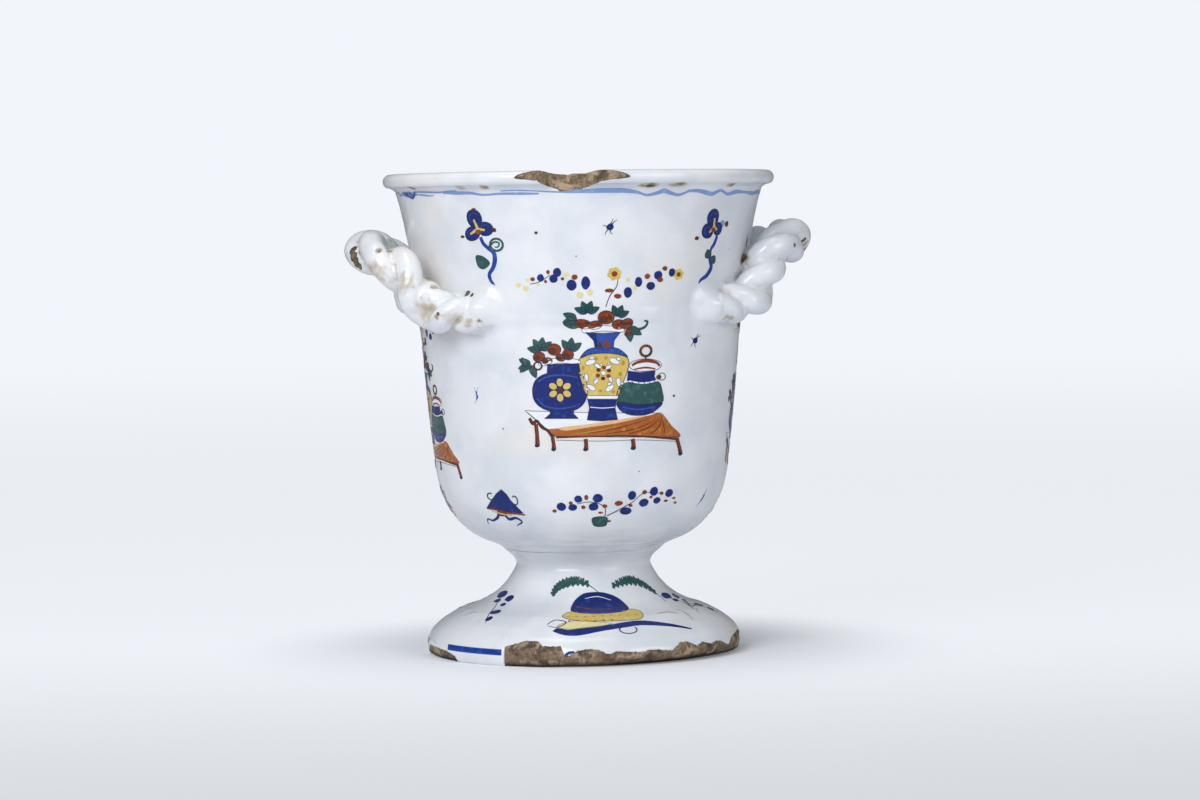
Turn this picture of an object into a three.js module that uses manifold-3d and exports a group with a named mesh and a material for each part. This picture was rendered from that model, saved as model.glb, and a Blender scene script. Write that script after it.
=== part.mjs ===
// Footed urn in tin-glazed earthenware with two twisted rope handles.
// Millimetres, +Z up. The origin is in the middle of the foot, on the surface that it stands on.
// The painted front faces -Y, and the handles are at +X (right) and -X (left).

import * as THREE from 'three';
import { mergeVertices, toCreasedNormals } from 'three/addons/utils/BufferGeometryUtils.js';
import Module from 'manifold-3d';

const wasm = await Module();
wasm.setup();

// Fit between pieces that were luted together
const clearance = 0.3;

// Foot, thrown upside down as a hollow dome with a collar
const footHeight = 53.4;
const footRadius = 80.5;
const footStandRadius = 79;
const footEdgeHeight = 5;
const footRingWidth = 9;
const footWall = 6.5;
const domeRadius = 61.5;
const domeHeight = 23;
const throatRadius = 34.2;
const throatHeight = 45;
const collarRadius = 40.8;
const boreLength = 11.4;

// Layer of slip that joins the foot's collar to the bowl
const slipThickness = 1.6;
const slipBead = 0.8;
const slipInset = 1;

// Bowl, heights counted from its underside
const bowlHeight = 189.4;
const bowlBaseRadius = 41.5;
const bellyRadius = 75.4;
const bellyHeight = 44.4;
const wallTopRadius = 93.5;
const bowlWall = 5.5;
const floorThickness = 6.5;
const floorCorner = 4;

// Everted lip
const rimRadius = 100;
const lipRoll = 3.6;
const lipDepth = 9;
const lipRollStart = -60;
const lipRollEnd = 100;

// Throwing ridge half way up the wall
const ridgeHeight = 116.4;
const ridgeSwell = 0.9;
const ridgeUnder = 3;
const ridgeOver = 9;

// Swell of the thrown outlines: where each curve's handles lie, as shares of the width and rise it spans
const footEdgeSwell = { across: 1, up: 0.16 };
const footDomeSwell = { startAcross: 0, startUp: 0.5, endAcross: 0.605, endUp: 0.806 };
const footThroatSwell = { startAcross: 0.68, startUp: 0.205, endAcross: 0.916, endUp: 0.75 };
const bellySwell = { startAcross: 0.49, startUp: 0.06, endAcross: 0.959, endUp: 0.36 };
const wallSwell = { startAcross: 0.3, startUp: 0.333, endAcross: 0.407, endUp: 0.737 };
const lipOutsideSwell = { across: 0.36, up: 0.82 };
const lipInsideSwell = { across: 0.56, up: 0.095 };

// Rope handle: two clay coils twisted together and bent into a loop
const coilRadius = 5.2;
const coilOffset = 5.9;
const twistPitch = 40;
const rightTwistStart = 2.55;
const leftTwistStart = 3.12;
const handleHeight = 121.3;
const handleHalfSpan = 45.6;
const loopHalfSpan = 27.1;
const loopRise = 32.6;
const loopReach = 21.9;
const wallHug = 7.7;
const endPressSpan = 16;
const endTaper = 0.78;

// Half of a rope's middle line, from its end on the wall to the middle of the loop: degrees from that
// middle, and the shares of the loop's rise and reach
const pressedSpan = handleHalfSpan - loopHalfSpan;
const ropeStations = [
  { turn: handleHalfSpan, rise: 0, reach: -0.37 },
  { turn: loopHalfSpan + pressedSpan * 0.68, rise: 0, reach: -0.12 },
  { turn: loopHalfSpan + pressedSpan * 0.41, rise: 0, reach: 0 },
  { turn: loopHalfSpan + pressedSpan * 0.22, rise: 0.07, reach: 0.08 },
  { turn: loopHalfSpan, rise: 0.235, reach: 0.19 },
  { turn: loopHalfSpan * 0.89, rise: 0.495, reach: 0.37 },
  { turn: loopHalfSpan * 0.7, rise: 0.83, reach: 0.65 },
  { turn: loopHalfSpan * 0.37, rise: 0.94, reach: 0.92 },
  { turn: 0, rise: 1, reach: 1 },
];

// Pad of clay smeared round each end of a rope
const padWidth = 20;
const padHeight = 21;
const padDepth = 8;
const padBeyondRope = 3;
const padLap = 2.5;

// Broken flakes: where each lies round the urn in degrees from the front, and its size
const rimFlakes = [
  { turn: -9.4, out: 0.5, below: 3.5, width: 28, depth: 19, height: 17 },
  { turn: -19, out: 2.6, below: 3.6, width: 31, depth: 9, height: 12 },
  { turn: 1, out: 2.6, below: 3.8, width: 22, depth: 9, height: 12 },
];
const footFlakes = [
  { turn: -30.5, width: 20, depth: 7, height: 20 },
  { turn: -15.5, width: 26, depth: 6, height: 18 },
  { turn: 5.5, width: 34, depth: 6, height: 14 },
  { turn: 28.5, width: 36, depth: 6.5, height: 13 },
  { turn: 51.5, width: 34, depth: 7.5, height: 17 },
  { turn: 72.5, width: 30, depth: 6, height: 18 },
];
const footFlakeOut = 1.2;
const flakeRoughness = 0.14;

// Facets, and the least distance between two points of an outline
const roundSteps = 50;
const curveSteps = 6;
const lipSteps = 3;
const coilSides = 8;
const coilStepLength = 4.1;
const leastStep = 1;

const slipBottom = footHeight + clearance;
const slipTop = slipBottom + slipThickness;
const bowlBase = slipTop + clearance;
const rimTop = bowlBase + bowlHeight;
const ropeEndHeight = bowlBase + handleHeight;

const { degToRad: radians, lerp } = THREE.MathUtils;

// Moves each point of an outline sideways, towards the left of its direction of travel
function offsetOutline(points, distance) {
  return points.map((point, i) => {
    const before = points[Math.max(i - 1, 0)];
    const after = points[Math.min(i + 1, points.length - 1)];
    const along = after.clone().sub(before).normalize();
    return new THREE.Vector2(point.x - along.y * distance, point.y + along.x * distance);
  });
}

// Carries an outline on to a point by a curve of one or two handles
function swellTo(outline, x, y, swell) {
  const from = outline.currentPoint.clone();
  if ('across' in swell) {
    outline.quadraticCurveTo(lerp(from.x, x, swell.across), lerp(from.y, y, swell.up), x, y);
  } else {
    outline.bezierCurveTo(
      lerp(from.x, x, swell.startAcross), lerp(from.y, y, swell.startUp),
      lerp(from.x, x, swell.endAcross), lerp(from.y, y, swell.endUp),
      x, y,
    );
  }
}

// Radius of an outline that climbs, at one height
function radiusAt(points, height) {
  const above = points.findIndex((point) => point.y > height);
  const upper = points[Math.max(above, 1)];
  const lower = points[Math.max(above, 1) - 1];
  return THREE.MathUtils.mapLinear(height, lower.y, upper.y, lower.x, upper.x);
}

// Outline of the bowl's outside, from the joint with the foot to the root of the lip
function bowlSkin() {
  const curve = new THREE.Path();
  curve.moveTo(bowlBaseRadius, bowlBase);
  swellTo(curve, bellyRadius, bowlBase + bellyHeight, bellySwell);
  swellTo(curve, wallTopRadius, rimTop - lipDepth, wallSwell);
  const plain = curve.getPoints(curveSteps);

  const ridge = bowlBase + ridgeHeight;
  const foot = new THREE.Vector2(radiusAt(plain, ridge - ridgeUnder), ridge - ridgeUnder);
  const crest = new THREE.Vector2(radiusAt(plain, ridge) + ridgeSwell, ridge);
  const top = new THREE.Vector2(radiusAt(plain, ridge + ridgeOver), ridge + ridgeOver);
  const below = plain.filter((point) => point.y < foot.y - leastStep);
  const above = plain.filter((point) => point.y > top.y + leastStep);
  return { plain, ridged: [...below, foot, crest, top, ...above] };
}

const skin = bowlSkin();

function latheSolid(points) {
  const geometry = new THREE.LatheGeometry(points, roundSteps);
  geometry.rotateX(Math.PI / 2);
  return solidOf(geometry);
}

function solidOf(geometry) {
  const bare = geometry.clone();
  bare.deleteAttribute('normal');
  bare.deleteAttribute('uv');
  const welded = mergeVertices(bare, 1e-4);
  const mesh = new wasm.Mesh({
    numProp: 3,
    vertProperties: new Float32Array(welded.attributes.position.array),
    triVerts: new Uint32Array(welded.index.array),
  });
  mesh.merge();
  return new wasm.Manifold(mesh);
}

function geometryOf(solid) {
  const mesh = solid.getMesh();
  const geometry = new THREE.BufferGeometry();
  geometry.setAttribute('position', new THREE.BufferAttribute(new Float32Array(mesh.vertProperties), 3));
  geometry.setIndex(new THREE.BufferAttribute(new Uint32Array(mesh.triVerts), 1));
  return toCreasedNormals(geometry, radians(35));
}

// An uneven lump that stands for the shell-shaped hollow a broken flake leaves
function flakeCutter({ turn, width, depth, height }, radius, level) {
  const lump = new THREE.IcosahedronGeometry(1, 1);
  const spots = lump.attributes.position;
  const spot = new THREE.Vector3();
  for (let i = 0; i < spots.count; i += 1) {
    spot.fromBufferAttribute(spots, i);
    const broad = Math.sin(5 * spot.x + turn) * Math.sin(4 * spot.z + 0.7);
    const fine = 0.5 * Math.sin(9 * spot.x + 6 * spot.z);
    spot.multiplyScalar(1 + flakeRoughness * (broad + fine));
    spots.setXYZ(i, spot.x, spot.y, spot.z);
  }
  lump.scale(width / 2, depth / 2, height / 2);
  lump.translate(0, -radius, level);
  lump.rotateZ(radians(turn));
  return solidOf(lump);
}

function bowl() {
  const lipMiddle = new THREE.Vector2(rimRadius - lipRoll, rimTop - lipRoll);
  const lipUnder = lipMiddle.clone();
  lipUnder.x += lipRoll * Math.cos(radians(lipRollStart));
  lipUnder.y += lipRoll * Math.sin(radians(lipRollStart));
  const inside = offsetOutline(skin.plain, bowlWall);
  const floorTop = bowlBase + floorThickness;
  const insideWall = inside.filter((point) => point.y > floorTop + leastStep).reverse();
  const insideTop = insideWall[0];

  const outline = new THREE.Path([new THREE.Vector2(0, bowlBase), ...skin.ridged]);
  swellTo(outline, lipUnder.x, lipUnder.y, lipOutsideSwell);
  outline.absarc(lipMiddle.x, lipMiddle.y, lipRoll, radians(lipRollStart), radians(lipRollEnd), false);
  swellTo(outline, insideTop.x, insideTop.y, lipInsideSwell);
  const points = outline.getPoints(lipSteps);
  points.push(...insideWall.slice(1));
  points.push(new THREE.Vector2(insideWall.at(-1).x - floorCorner, floorTop), new THREE.Vector2(0, floorTop));

  let solid = latheSolid(points);
  for (const flake of rimFlakes) {
    solid = solid.subtract(flakeCutter(flake, rimRadius + flake.out, rimTop - flake.below));
  }
  return geometryOf(solid);
}

function foot() {
  const curve = new THREE.Path();
  curve.moveTo(footStandRadius, 0);
  swellTo(curve, footRadius, footEdgeHeight, footEdgeSwell);
  swellTo(curve, domeRadius, domeHeight, footDomeSwell);
  swellTo(curve, throatRadius, throatHeight, footThroatSwell);
  const outside = curve.getPoints(curveSteps);
  const standInside = footStandRadius - footRingWidth;
  const boreRadius = throatRadius - footWall;
  const inside = offsetOutline(outside, footWall)
    .filter((point) => point.x < standInside - leastStep && point.x > boreRadius + leastStep)
    .reverse();

  const stand = new THREE.Vector2(standInside, 0);
  const collar = new THREE.Vector2(collarRadius, footHeight);
  const collarInside = new THREE.Vector2(boreRadius, footHeight);
  const boreFoot = new THREE.Vector2(boreRadius, footHeight - boreLength);
  let solid = latheSolid([stand, ...outside, collar, collarInside, boreFoot, ...inside, stand]);
  for (const flake of footFlakes) {
    solid = solid.subtract(flakeCutter(flake, footRadius + footFlakeOut, 0));
  }
  return geometryOf(solid);
}

function slipJoint() {
  const outline = new THREE.Path();
  const insideRadius = throatRadius - footWall + slipInset;
  outline.moveTo(insideRadius, slipBottom);
  outline.lineTo(collarRadius, slipBottom);
  outline.quadraticCurveTo(collarRadius + 2 * slipBead, (slipBottom + slipTop) / 2, collarRadius, slipTop);
  outline.lineTo(insideRadius, slipTop);
  outline.lineTo(insideRadius, slipBottom);
  return geometryOf(latheSolid(outline.getPoints(2)));
}

// How far a rope is pressed to the wall, from 0 to 1 at its end
function pressShare(turn) {
  return THREE.MathUtils.smoothstep(Math.abs(turn), handleHalfSpan - endPressSpan, handleHalfSpan);
}

// Middle line of the right-hand rope, round the bowl from the front to the back
function ropeCurve() {
  const rearHalf = ropeStations.slice(0, -1).reverse();
  const frontHalf = ropeStations.map((station) => ({ ...station, turn: -station.turn }));
  const points = [...frontHalf, ...rearHalf].map(({ turn, rise, reach }) => {
    const height = ropeEndHeight + loopRise * rise;
    const radius = radiusAt(skin.plain, height) + lerp(wallHug, loopReach, reach);
    return new THREE.Vector3(radius * Math.cos(radians(turn)), radius * Math.sin(radians(turn)), height);
  });
  return new THREE.CatmullRomCurve3(points, false, 'catmullrom', 0.5);
}

const rope = ropeCurve();
rope.arcLengthDivisions = 400;
const ropeLength = rope.getLength();

// A point at a distance along the rope and an offset from its middle, on a right-handed helix round it,
// with the helix's own direction there
function helixPoint(distance, phase, offset) {
  const u = THREE.MathUtils.clamp(distance / ropeLength, 0, 1);
  const along = rope.getTangentAt(u);
  const middle = rope.getPointAt(u).addScaledVector(along, distance - u * ropeLength);
  const side = new THREE.Vector3(0, 0, 1).cross(along).normalize();
  const up = along.clone().cross(side);
  const turnPerLength = 2 * Math.PI / twistPitch;
  const angle = phase + turnPerLength * distance;
  const outward = side.clone().multiplyScalar(Math.cos(angle)).addScaledVector(up, Math.sin(angle));
  const sideways = side.multiplyScalar(-Math.sin(angle)).addScaledVector(up, Math.cos(angle));
  const turn = THREE.MathUtils.radToDeg(Math.atan2(middle.y, middle.x));
  const taper = lerp(1, endTaper, pressShare(turn));
  const radius = offset * taper;
  const path = along.addScaledVector(sideways, radius * turnPerLength).normalize();
  return { centre: middle.addScaledVector(outward, radius), outward, path, taper };
}

// A closed tube of rings along such a helix, each square to its path. Its ends can run on past the rope's.
function helixTube(phase, offset, fullRadius, beyond) {
  const steps = Math.round(ropeLength / coilStepLength);
  const distances = Array.from({ length: steps + 1 }, (_, i) => ropeLength * i / steps);
  const extended = beyond > 0 ? [-beyond, ...distances, ropeLength + beyond] : distances;
  const stations = extended.map((distance) => helixPoint(distance, phase, offset));
  const lastRing = stations.length - 1;
  const positions = [];
  for (const { centre, outward, path, taper } of stations) {
    const across = path.clone().cross(outward);
    const radius = fullRadius * taper;
    for (let side = 0; side < coilSides; side += 1) {
      const angle = 2 * Math.PI * side / coilSides;
      const spot = centre.clone();
      spot.addScaledVector(outward, radius * Math.cos(angle));
      spot.addScaledVector(across, radius * Math.sin(angle));
      positions.push(spot.x, spot.y, spot.z);
    }
  }
  for (const cap of [stations[0].centre, stations[lastRing].centre]) {
    positions.push(cap.x, cap.y, cap.z);
  }

  const index = [];
  const startCap = coilSides * stations.length;
  const endCap = startCap + 1;
  for (let side = 0; side < coilSides; side += 1) {
    const next = (side + 1) % coilSides;
    for (let i = 0; i < lastRing; i += 1) {
      const a = i * coilSides + side;
      const b = i * coilSides + next;
      index.push(a, b, b + coilSides, a, b + coilSides, a + coilSides);
    }
    index.push(startCap, next, side);
    index.push(endCap, lastRing * coilSides + side, lastRing * coilSides + next);
  }
  const geometry = new THREE.BufferGeometry();
  geometry.setAttribute('position', new THREE.Float32BufferAttribute(positions, 3));
  geometry.setIndex(index);
  return solidOf(geometry);
}

// The bowl's outside, grown by the clearance, takes out of a handle's pieces what would lie in the wall
function wallCutter() {
  const grown = offsetOutline(skin.ridged, -clearance);
  const bottom = new THREE.Vector2(0, grown[0].y);
  const top = new THREE.Vector2(0, grown.at(-1).y);
  return latheSolid([bottom, ...grown, top]);
}

// A squashed lump of clay that laps round one end of a rope
function padSolid(end) {
  const radius = radiusAt(skin.plain, ropeEndHeight);
  const pad = new THREE.SphereGeometry(1, 16, 9);
  pad.rotateZ(Math.PI / 2);
  pad.scale(padDepth, padWidth / 2, padHeight / 2);
  const ropeSide = new THREE.BoxGeometry(3 * padDepth, padWidth, 2 * padHeight);
  ropeSide.translate(0, -end * (padBeyondRope + padLap + padWidth / 2), 0);
  const solids = [pad, ropeSide].map((geometry) => {
    geometry.translate(radius, 0, ropeEndHeight);
    geometry.rotateZ(end * (radians(handleHalfSpan) + padBeyondRope / radius));
    return solidOf(geometry);
  });
  return solids[0].subtract(solids[1]);
}

// The four pieces of one handle, made at +X and then turned to their side
function handlePieces(twistStart) {
  const wall = wallCutter();
  const otherStart = twistStart + Math.PI;
  const seat = clearance / endTaper;
  const seatA = helixTube(twistStart, coilOffset, coilRadius + seat, clearance);
  const seatB = helixTube(otherStart, coilOffset, coilRadius + seat, clearance);
  const strandA = helixTube(twistStart, coilOffset, coilRadius, 0).subtract(wall);
  const strandB = helixTube(otherStart, coilOffset, coilRadius, 0).subtract(seatA).subtract(wall);
  const frontPad = padSolid(-1).subtract(seatA).subtract(seatB).subtract(wall);
  const rearPad = padSolid(1).subtract(seatA).subtract(seatB).subtract(wall);
  return { strandA, strandB, frontPad, rearPad };
}

const urn = new THREE.Group();
urn.name = 'urn';

function addPiece(parent, name, geometry, colour, roughness) {
  const material = new THREE.MeshStandardMaterial({ color: colour, roughness, metalness: 0 });
  const mesh = new THREE.Mesh(geometry, material);
  mesh.name = name;
  parent.add(mesh);
}

const glazeWhite = 0xe0e4ea;
const glazeGrey = 0xced3da;
const ropeWhite = 0xe4e6ea;

addPiece(urn, 'bowl', bowl(), glazeWhite, 0.18);
addPiece(urn, 'foot', foot(), glazeWhite, 0.2);
addPiece(urn, 'slip_joint', slipJoint(), glazeGrey, 0.25);

const handles = [
  { side: 'right', turn: 0, twistStart: rightTwistStart, front: 'frontPad', rear: 'rearPad' },
  { side: 'left', turn: Math.PI, twistStart: leftTwistStart, front: 'rearPad', rear: 'frontPad' },
];
for (const { side, turn, twistStart, front, rear } of handles) {
  const handle = new THREE.Group();
  handle.rotation.z = turn;
  const pieces = handlePieces(twistStart);
  addPiece(handle, `${side}_handle_strand_a`, geometryOf(pieces.strandA), ropeWhite, 0.16);
  addPiece(handle, `${side}_handle_strand_b`, geometryOf(pieces.strandB), ropeWhite, 0.16);
  addPiece(handle, `${side}_front_pad`, geometryOf(pieces[front]), ropeWhite, 0.2);
  addPiece(handle, `${side}_rear_pad`, geometryOf(pieces[rear]), ropeWhite, 0.2);
  urn.add(handle);
}

export default urn;
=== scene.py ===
# Footed urn in tin-glazed earthenware with rope handles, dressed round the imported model.
# Lengths are written in millimetres and turned to metres as a mesh is made.
import math
from bisect import bisect_right
import bpy
import bmesh
from mathutils import Matrix, Vector, geometry, noise


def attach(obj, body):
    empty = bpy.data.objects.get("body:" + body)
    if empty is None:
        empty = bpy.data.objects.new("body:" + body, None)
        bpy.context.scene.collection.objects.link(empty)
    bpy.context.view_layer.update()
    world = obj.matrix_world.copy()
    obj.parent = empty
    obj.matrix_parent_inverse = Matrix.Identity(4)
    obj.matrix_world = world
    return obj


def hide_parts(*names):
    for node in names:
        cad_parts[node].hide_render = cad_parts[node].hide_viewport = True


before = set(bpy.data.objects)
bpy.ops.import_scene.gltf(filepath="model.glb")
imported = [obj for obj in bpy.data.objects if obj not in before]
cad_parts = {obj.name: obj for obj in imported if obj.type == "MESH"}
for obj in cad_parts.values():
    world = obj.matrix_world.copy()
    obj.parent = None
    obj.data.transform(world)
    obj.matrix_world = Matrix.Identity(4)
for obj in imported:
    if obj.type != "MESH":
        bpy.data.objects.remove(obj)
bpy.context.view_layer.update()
mm = 0.001


def linearColour(hexText):
    channels = [int(hexText[i:i + 2], 16) / 255 for i in (1, 3, 5)]
    return [c / 12.92 if c <= 0.04045 else ((c + 0.055) / 1.055) ** 2.4 for c in channels] + [1]


def mix(a, b, share):
    return a + (b - a) * share


def easeShare(value, low, high):
    share = min(max((value - low) / (high - low), 0), 1)
    return share * share * (3 - 2 * share)


def valueAt(pairs, x):
    # Straight line between the pairs (x, value), level beyond them
    above = bisect_right(pairs, (x, math.inf))
    if above == 0:
        return pairs[0][1]
    if above == len(pairs):
        return pairs[-1][1]
    (x0, v0), (x1, v1) = pairs[above - 1], pairs[above]
    return mix(v0, v1, (x - x0) / (x1 - x0))


def swellCurve(start, end, nearStart, nearEnd, steps):
    # Thrown outline from start to end, its two handles given as shares of the width and rise
    handles = [(mix(start[0], end[0], s[0]), mix(start[1], end[1], s[1])) for s in (nearStart, nearEnd)]
    points = []
    for i in range(steps + 1):
        t = i / steps
        weights = ((1 - t) ** 3, 3 * (1 - t) ** 2 * t, 3 * (1 - t) * t * t, t ** 3)
        corners = (start, *handles, end)
        points.append(tuple(sum(w * c[k] for w, c in zip(weights, corners)) for k in (0, 1)))
    return points


def addNode(tree, kind, settings=None, **links):
    # One node with its settings, and its inputs by name: a socket makes a link, anything else a value
    node = tree.nodes.new(kind)
    for key, value in (settings or {}).items():
        setattr(node, key, value)
    for key, value in links.items():
        socket = node.inputs[int(key[1:])] if key[0] == "i" and key[1:].isdigit() else node.inputs[key]
        if isinstance(value, bpy.types.NodeSocket):
            tree.links.new(value, socket)
        else:
            socket.default_value = value
    return node


def reckon(tree, operation, *values):
    # One step of arithmetic in a tree of nodes
    sockets = {"i" + str(index): value for index, value in enumerate(values)}
    return addNode(tree, "ShaderNodeMath", {"operation": operation}, **sockets).outputs[0]


def reckonVector(tree, operation, a, b):
    return addNode(tree, "ShaderNodeVectorMath", {"operation": operation}, i0=a, i1=b).outputs[0]


def pieceTree(name, inputs):
    # A Geometry Nodes tree that takes a mesh and these values, and the sockets that give them
    tree = bpy.data.node_groups.new(name, "GeometryNodeTree")
    for label, kind, value in (("Geometry", "NodeSocketGeometry", None), *inputs):
        socket = tree.interface.new_socket(label, in_out="INPUT", socket_type=kind)
        if value is not None:
            socket.default_value = value
    tree.interface.new_socket("Geometry", in_out="OUTPUT", socket_type="NodeSocketGeometry")
    return tree, tree.nodes.new("NodeGroupInput").outputs


def treeGives(tree, made, material):
    coat = addNode(tree, "GeometryNodeSetMaterial", Geometry=made, Material=material)
    result = tree.nodes.new("NodeGroupOutput")
    tree.links.new(coat.outputs[0], result.inputs[0])
    return tree


def plainMesh(obj):
    # What the modifiers make becomes the object's own mesh
    bpy.context.view_layer.update()
    evaluated = obj.evaluated_get(bpy.context.evaluated_depsgraph_get())
    mesh = bpy.data.meshes.new_from_object(evaluated)
    obj.modifiers.clear()
    old = obj.data
    obj.data = mesh
    bpy.data.meshes.remove(old)
    return obj


def growMesh(piece, tree, settings):
    # The tree makes the piece's mesh with these settings
    modifier = piece.modifiers.new(tree.name, "NODES")
    modifier.node_group = tree
    for item in tree.interface.items_tree:
        if item.item_type == "SOCKET" and item.in_out == "INPUT" and item.name in settings:
            modifier[item.identifier] = settings[item.name]
    return plainMesh(piece)


def finishPiece(obj, material=None):
    if material:
        obj.data.materials.clear()
        obj.data.materials.append(material)
    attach(obj, "root")
    return obj


def meshPiece(name, points, faces, smooth=True, edges=()):
    mesh = bpy.data.meshes.new(name)
    mesh.from_pydata([tuple(c * mm for c in p) for p in points], edges, faces)
    mesh.update()
    mesh.polygons.foreach_set("use_smooth", [smooth] * len(mesh.polygons))
    return linkedObject(name, mesh)


def linkedObject(name, data):
    obj = bpy.data.objects.new(name, data)
    bpy.context.scene.collection.objects.link(obj)
    return obj


def writeAttribute(obj, name, values):
    layer = obj.data.attributes.new(name, "FLOAT", "POINT")
    layer.data.foreach_set("value", values)


def roundSpot(turn, radius, height):
    # A point of the urn; turn is in radians from the painted front
    return (radius * math.sin(turn), -radius * math.cos(turn), height)


def degreesFromFront(turn):
    return (math.degrees(turn) + 180) % 360 - 180


def throughPoint(a, b, c, d, t):
    # Point of a smooth curve from b to c, where a and d are their neighbours
    bend = (2 * a - 5 * b + 4 * c - d) * t * t
    return 0.5 * (2 * b + (c - a) * t + bend + (3 * b - a - 3 * c + d) * t ** 3)


def quadratic(a, b, c, t):
    return tuple((1 - t) ** 2 * p + 2 * t * (1 - t) * q + t * t * r for p, q, r in zip(a, b, c))


def movedIn(outline, wall):
    # The outline moved inwards by the wall's thickness, without its two ends
    inside = []
    for (r0, z0), (r, z), (r1, z1) in zip(outline, outline[1:], outline[2:]):
        size = math.hypot(r1 - r0, z1 - z0)
        inside.append((r - wall * (z1 - z0) / size, z + wall * (r1 - r0) / size))
    return inside


print("frame loaded, nodes:", len(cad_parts))

# The urn's own surfaces, shared by the clay pieces and by the painting on them
bowlForm = {
    "base": 55.6, "baseRadius": 41.5, "bellyHeight": 100, "bellyRadius": 75.4,
    "wallTop": 236, "wallTopRadius": 93.5, "wall": 5.5, "floorTop": 62.1,
    "rimTop": 245, "rimRadius": 100, "lipRoll": 3.6, "lipFrom": -60, "lipTo": 100, "floorCorner": 4,
    "ridgeHeight": 172, "ridgeSwell": 0.9, "ridgeUnder": 4, "ridgeOver": 11,
    "throwingRings": 0.05, "unevenness": 0.35,
}
wallOutline = swellCurve(
    (bowlForm["baseRadius"], bowlForm["base"]), (bowlForm["bellyRadius"], bowlForm["bellyHeight"]),
    (0.49, 0.06), (0.959, 0.36), 60,
)
wallOutline += swellCurve(
    (bowlForm["bellyRadius"], bowlForm["bellyHeight"]), (bowlForm["wallTopRadius"], bowlForm["wallTop"]),
    (0.3, 0.333), (0.407, 0.737), 60,
)[1:]
wallRadii = [(z, r) for r, z in wallOutline]


def plainWallRadius(height):
    return valueAt(wallRadii, height)


def wallRadius(turn, height):
    # Radius of the outside at a place, with the ridge and the traces of the thrower's fingers
    radius = plainWallRadius(height)
    away = height - bowlForm["ridgeHeight"]
    reach = bowlForm["ridgeOver"] if away > 0 else bowlForm["ridgeUnder"]
    radius += bowlForm["ridgeSwell"] * (1 - easeShare(abs(away), 0, reach))
    direction = Vector((math.sin(turn), -math.cos(turn), height / 90))
    radius += bowlForm["unevenness"] * noise.noise(direction * 1.7)
    rings = math.sin(height * 0.62 + 1.1 * math.sin(height * 0.11) + 0.3 * turn)
    return radius + bowlForm["throwingRings"] * rings


footForm = {
    "standRadius": 79, "radius": 80.5, "edgeHeight": 5, "domeRadius": 61.5, "domeHeight": 23,
    "throatRadius": 34.2, "throatHeight": 45, "collarRadius": 40.9, "height": 53.4,
    "ringWidth": 9, "wall": 6.5, "boreLength": 11.4, "throwingRings": 0.07, "unevenness": 0.3,
}
footOutline = [(footForm["standRadius"], 0), (79.9, 0.6), (80.3, 1.8), (80.5, 3.4)]
footOutline += swellCurve(
    (footForm["radius"], footForm["edgeHeight"]), (footForm["domeRadius"], footForm["domeHeight"]),
    (0, 0.5), (0.605, 0.806), 40,
)
footOutline += swellCurve(
    (footForm["domeRadius"], footForm["domeHeight"]), (footForm["throatRadius"], footForm["throatHeight"]),
    (0.68, 0.205), (0.916, 0.75), 40,
)[1:]
footOutline += swellCurve(
    (footForm["throatRadius"], footForm["throatHeight"]), (footForm["collarRadius"], footForm["height"]),
    (-0.03, 0.4), (0.62, 0.72), 12,
)[1:]
footArcs = [0.0]
for a, b in zip(footOutline, footOutline[1:]):
    footArcs.append(footArcs[-1] + math.dist(a, b))
footRadii = [(arc, p[0]) for arc, p in zip(footArcs, footOutline)]
footHeights = [(arc, p[1]) for arc, p in zip(footArcs, footOutline)]
footLength = footArcs[-1]


def footSpot(turn, arc):
    radius = valueAt(footRadii, arc)
    direction = Vector((math.sin(turn), -math.cos(turn), arc / 60))
    swell = footForm["unevenness"] * noise.noise(direction * 2.1)
    swell += footForm["throwingRings"] * math.sin(arc * 0.9 + 0.4 * turn)
    return radius + swell * easeShare(arc, 0, 12), valueAt(footHeights, arc)


def onWall(turn, height, lift=0):
    # A point on the bowl's outside, lifted square to it; turn is in radians from the painted front
    slope = wallRadius(turn, height + 0.5) - wallRadius(turn, height - 0.5)
    size = math.hypot(1, slope)
    return roundSpot(turn, wallRadius(turn, height) + lift / size, height - lift * slope / size)


def onFoot(turn, arc, lift=0):
    # The same on the foot, at a length along its outline
    r0, z0 = footSpot(turn, arc - 0.5)
    r1, z1 = footSpot(turn, arc + 0.5)
    size = math.hypot(r1 - r0, z1 - z0)
    radius, height = footSpot(turn, arc)
    return roundSpot(turn, radius + lift * (z1 - z0) / size, height - lift * (r1 - r0) / size)


def columnsRound(fineFrom, fineTo, fineStep, coarseStep):
    # Columns round the urn in degrees from the front, closer together where the edge is broken
    fineCount = round((fineTo - fineFrom) / fineStep)
    coarseCount = round((360 - fineTo + fineFrom) / coarseStep)
    turns = [mix(fineFrom, fineTo, i / fineCount) for i in range(fineCount)]
    turns += [mix(fineTo, fineFrom + 360, i / coarseCount) for i in range(coarseCount)]
    return [math.radians(turn) for turn in turns]


def latheShell(turns, rows, spotFor):
    # Rows of points round the axis, each joined to the next and the last to the first
    points, marks = [], []
    for row in rows:
        for turn in turns:
            spot, mark = spotFor(turn, row)
            points.append(spot)
            marks.append(mark)
    faces = []
    count = len(turns)
    for i in range(len(rows)):
        below, above = i * count, (i + 1) % len(rows) * count
        for j in range(count):
            k = (j + 1) % count
            faces.append((below + j, below + k, above + k, above + j))
    return points, faces, marks


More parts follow.
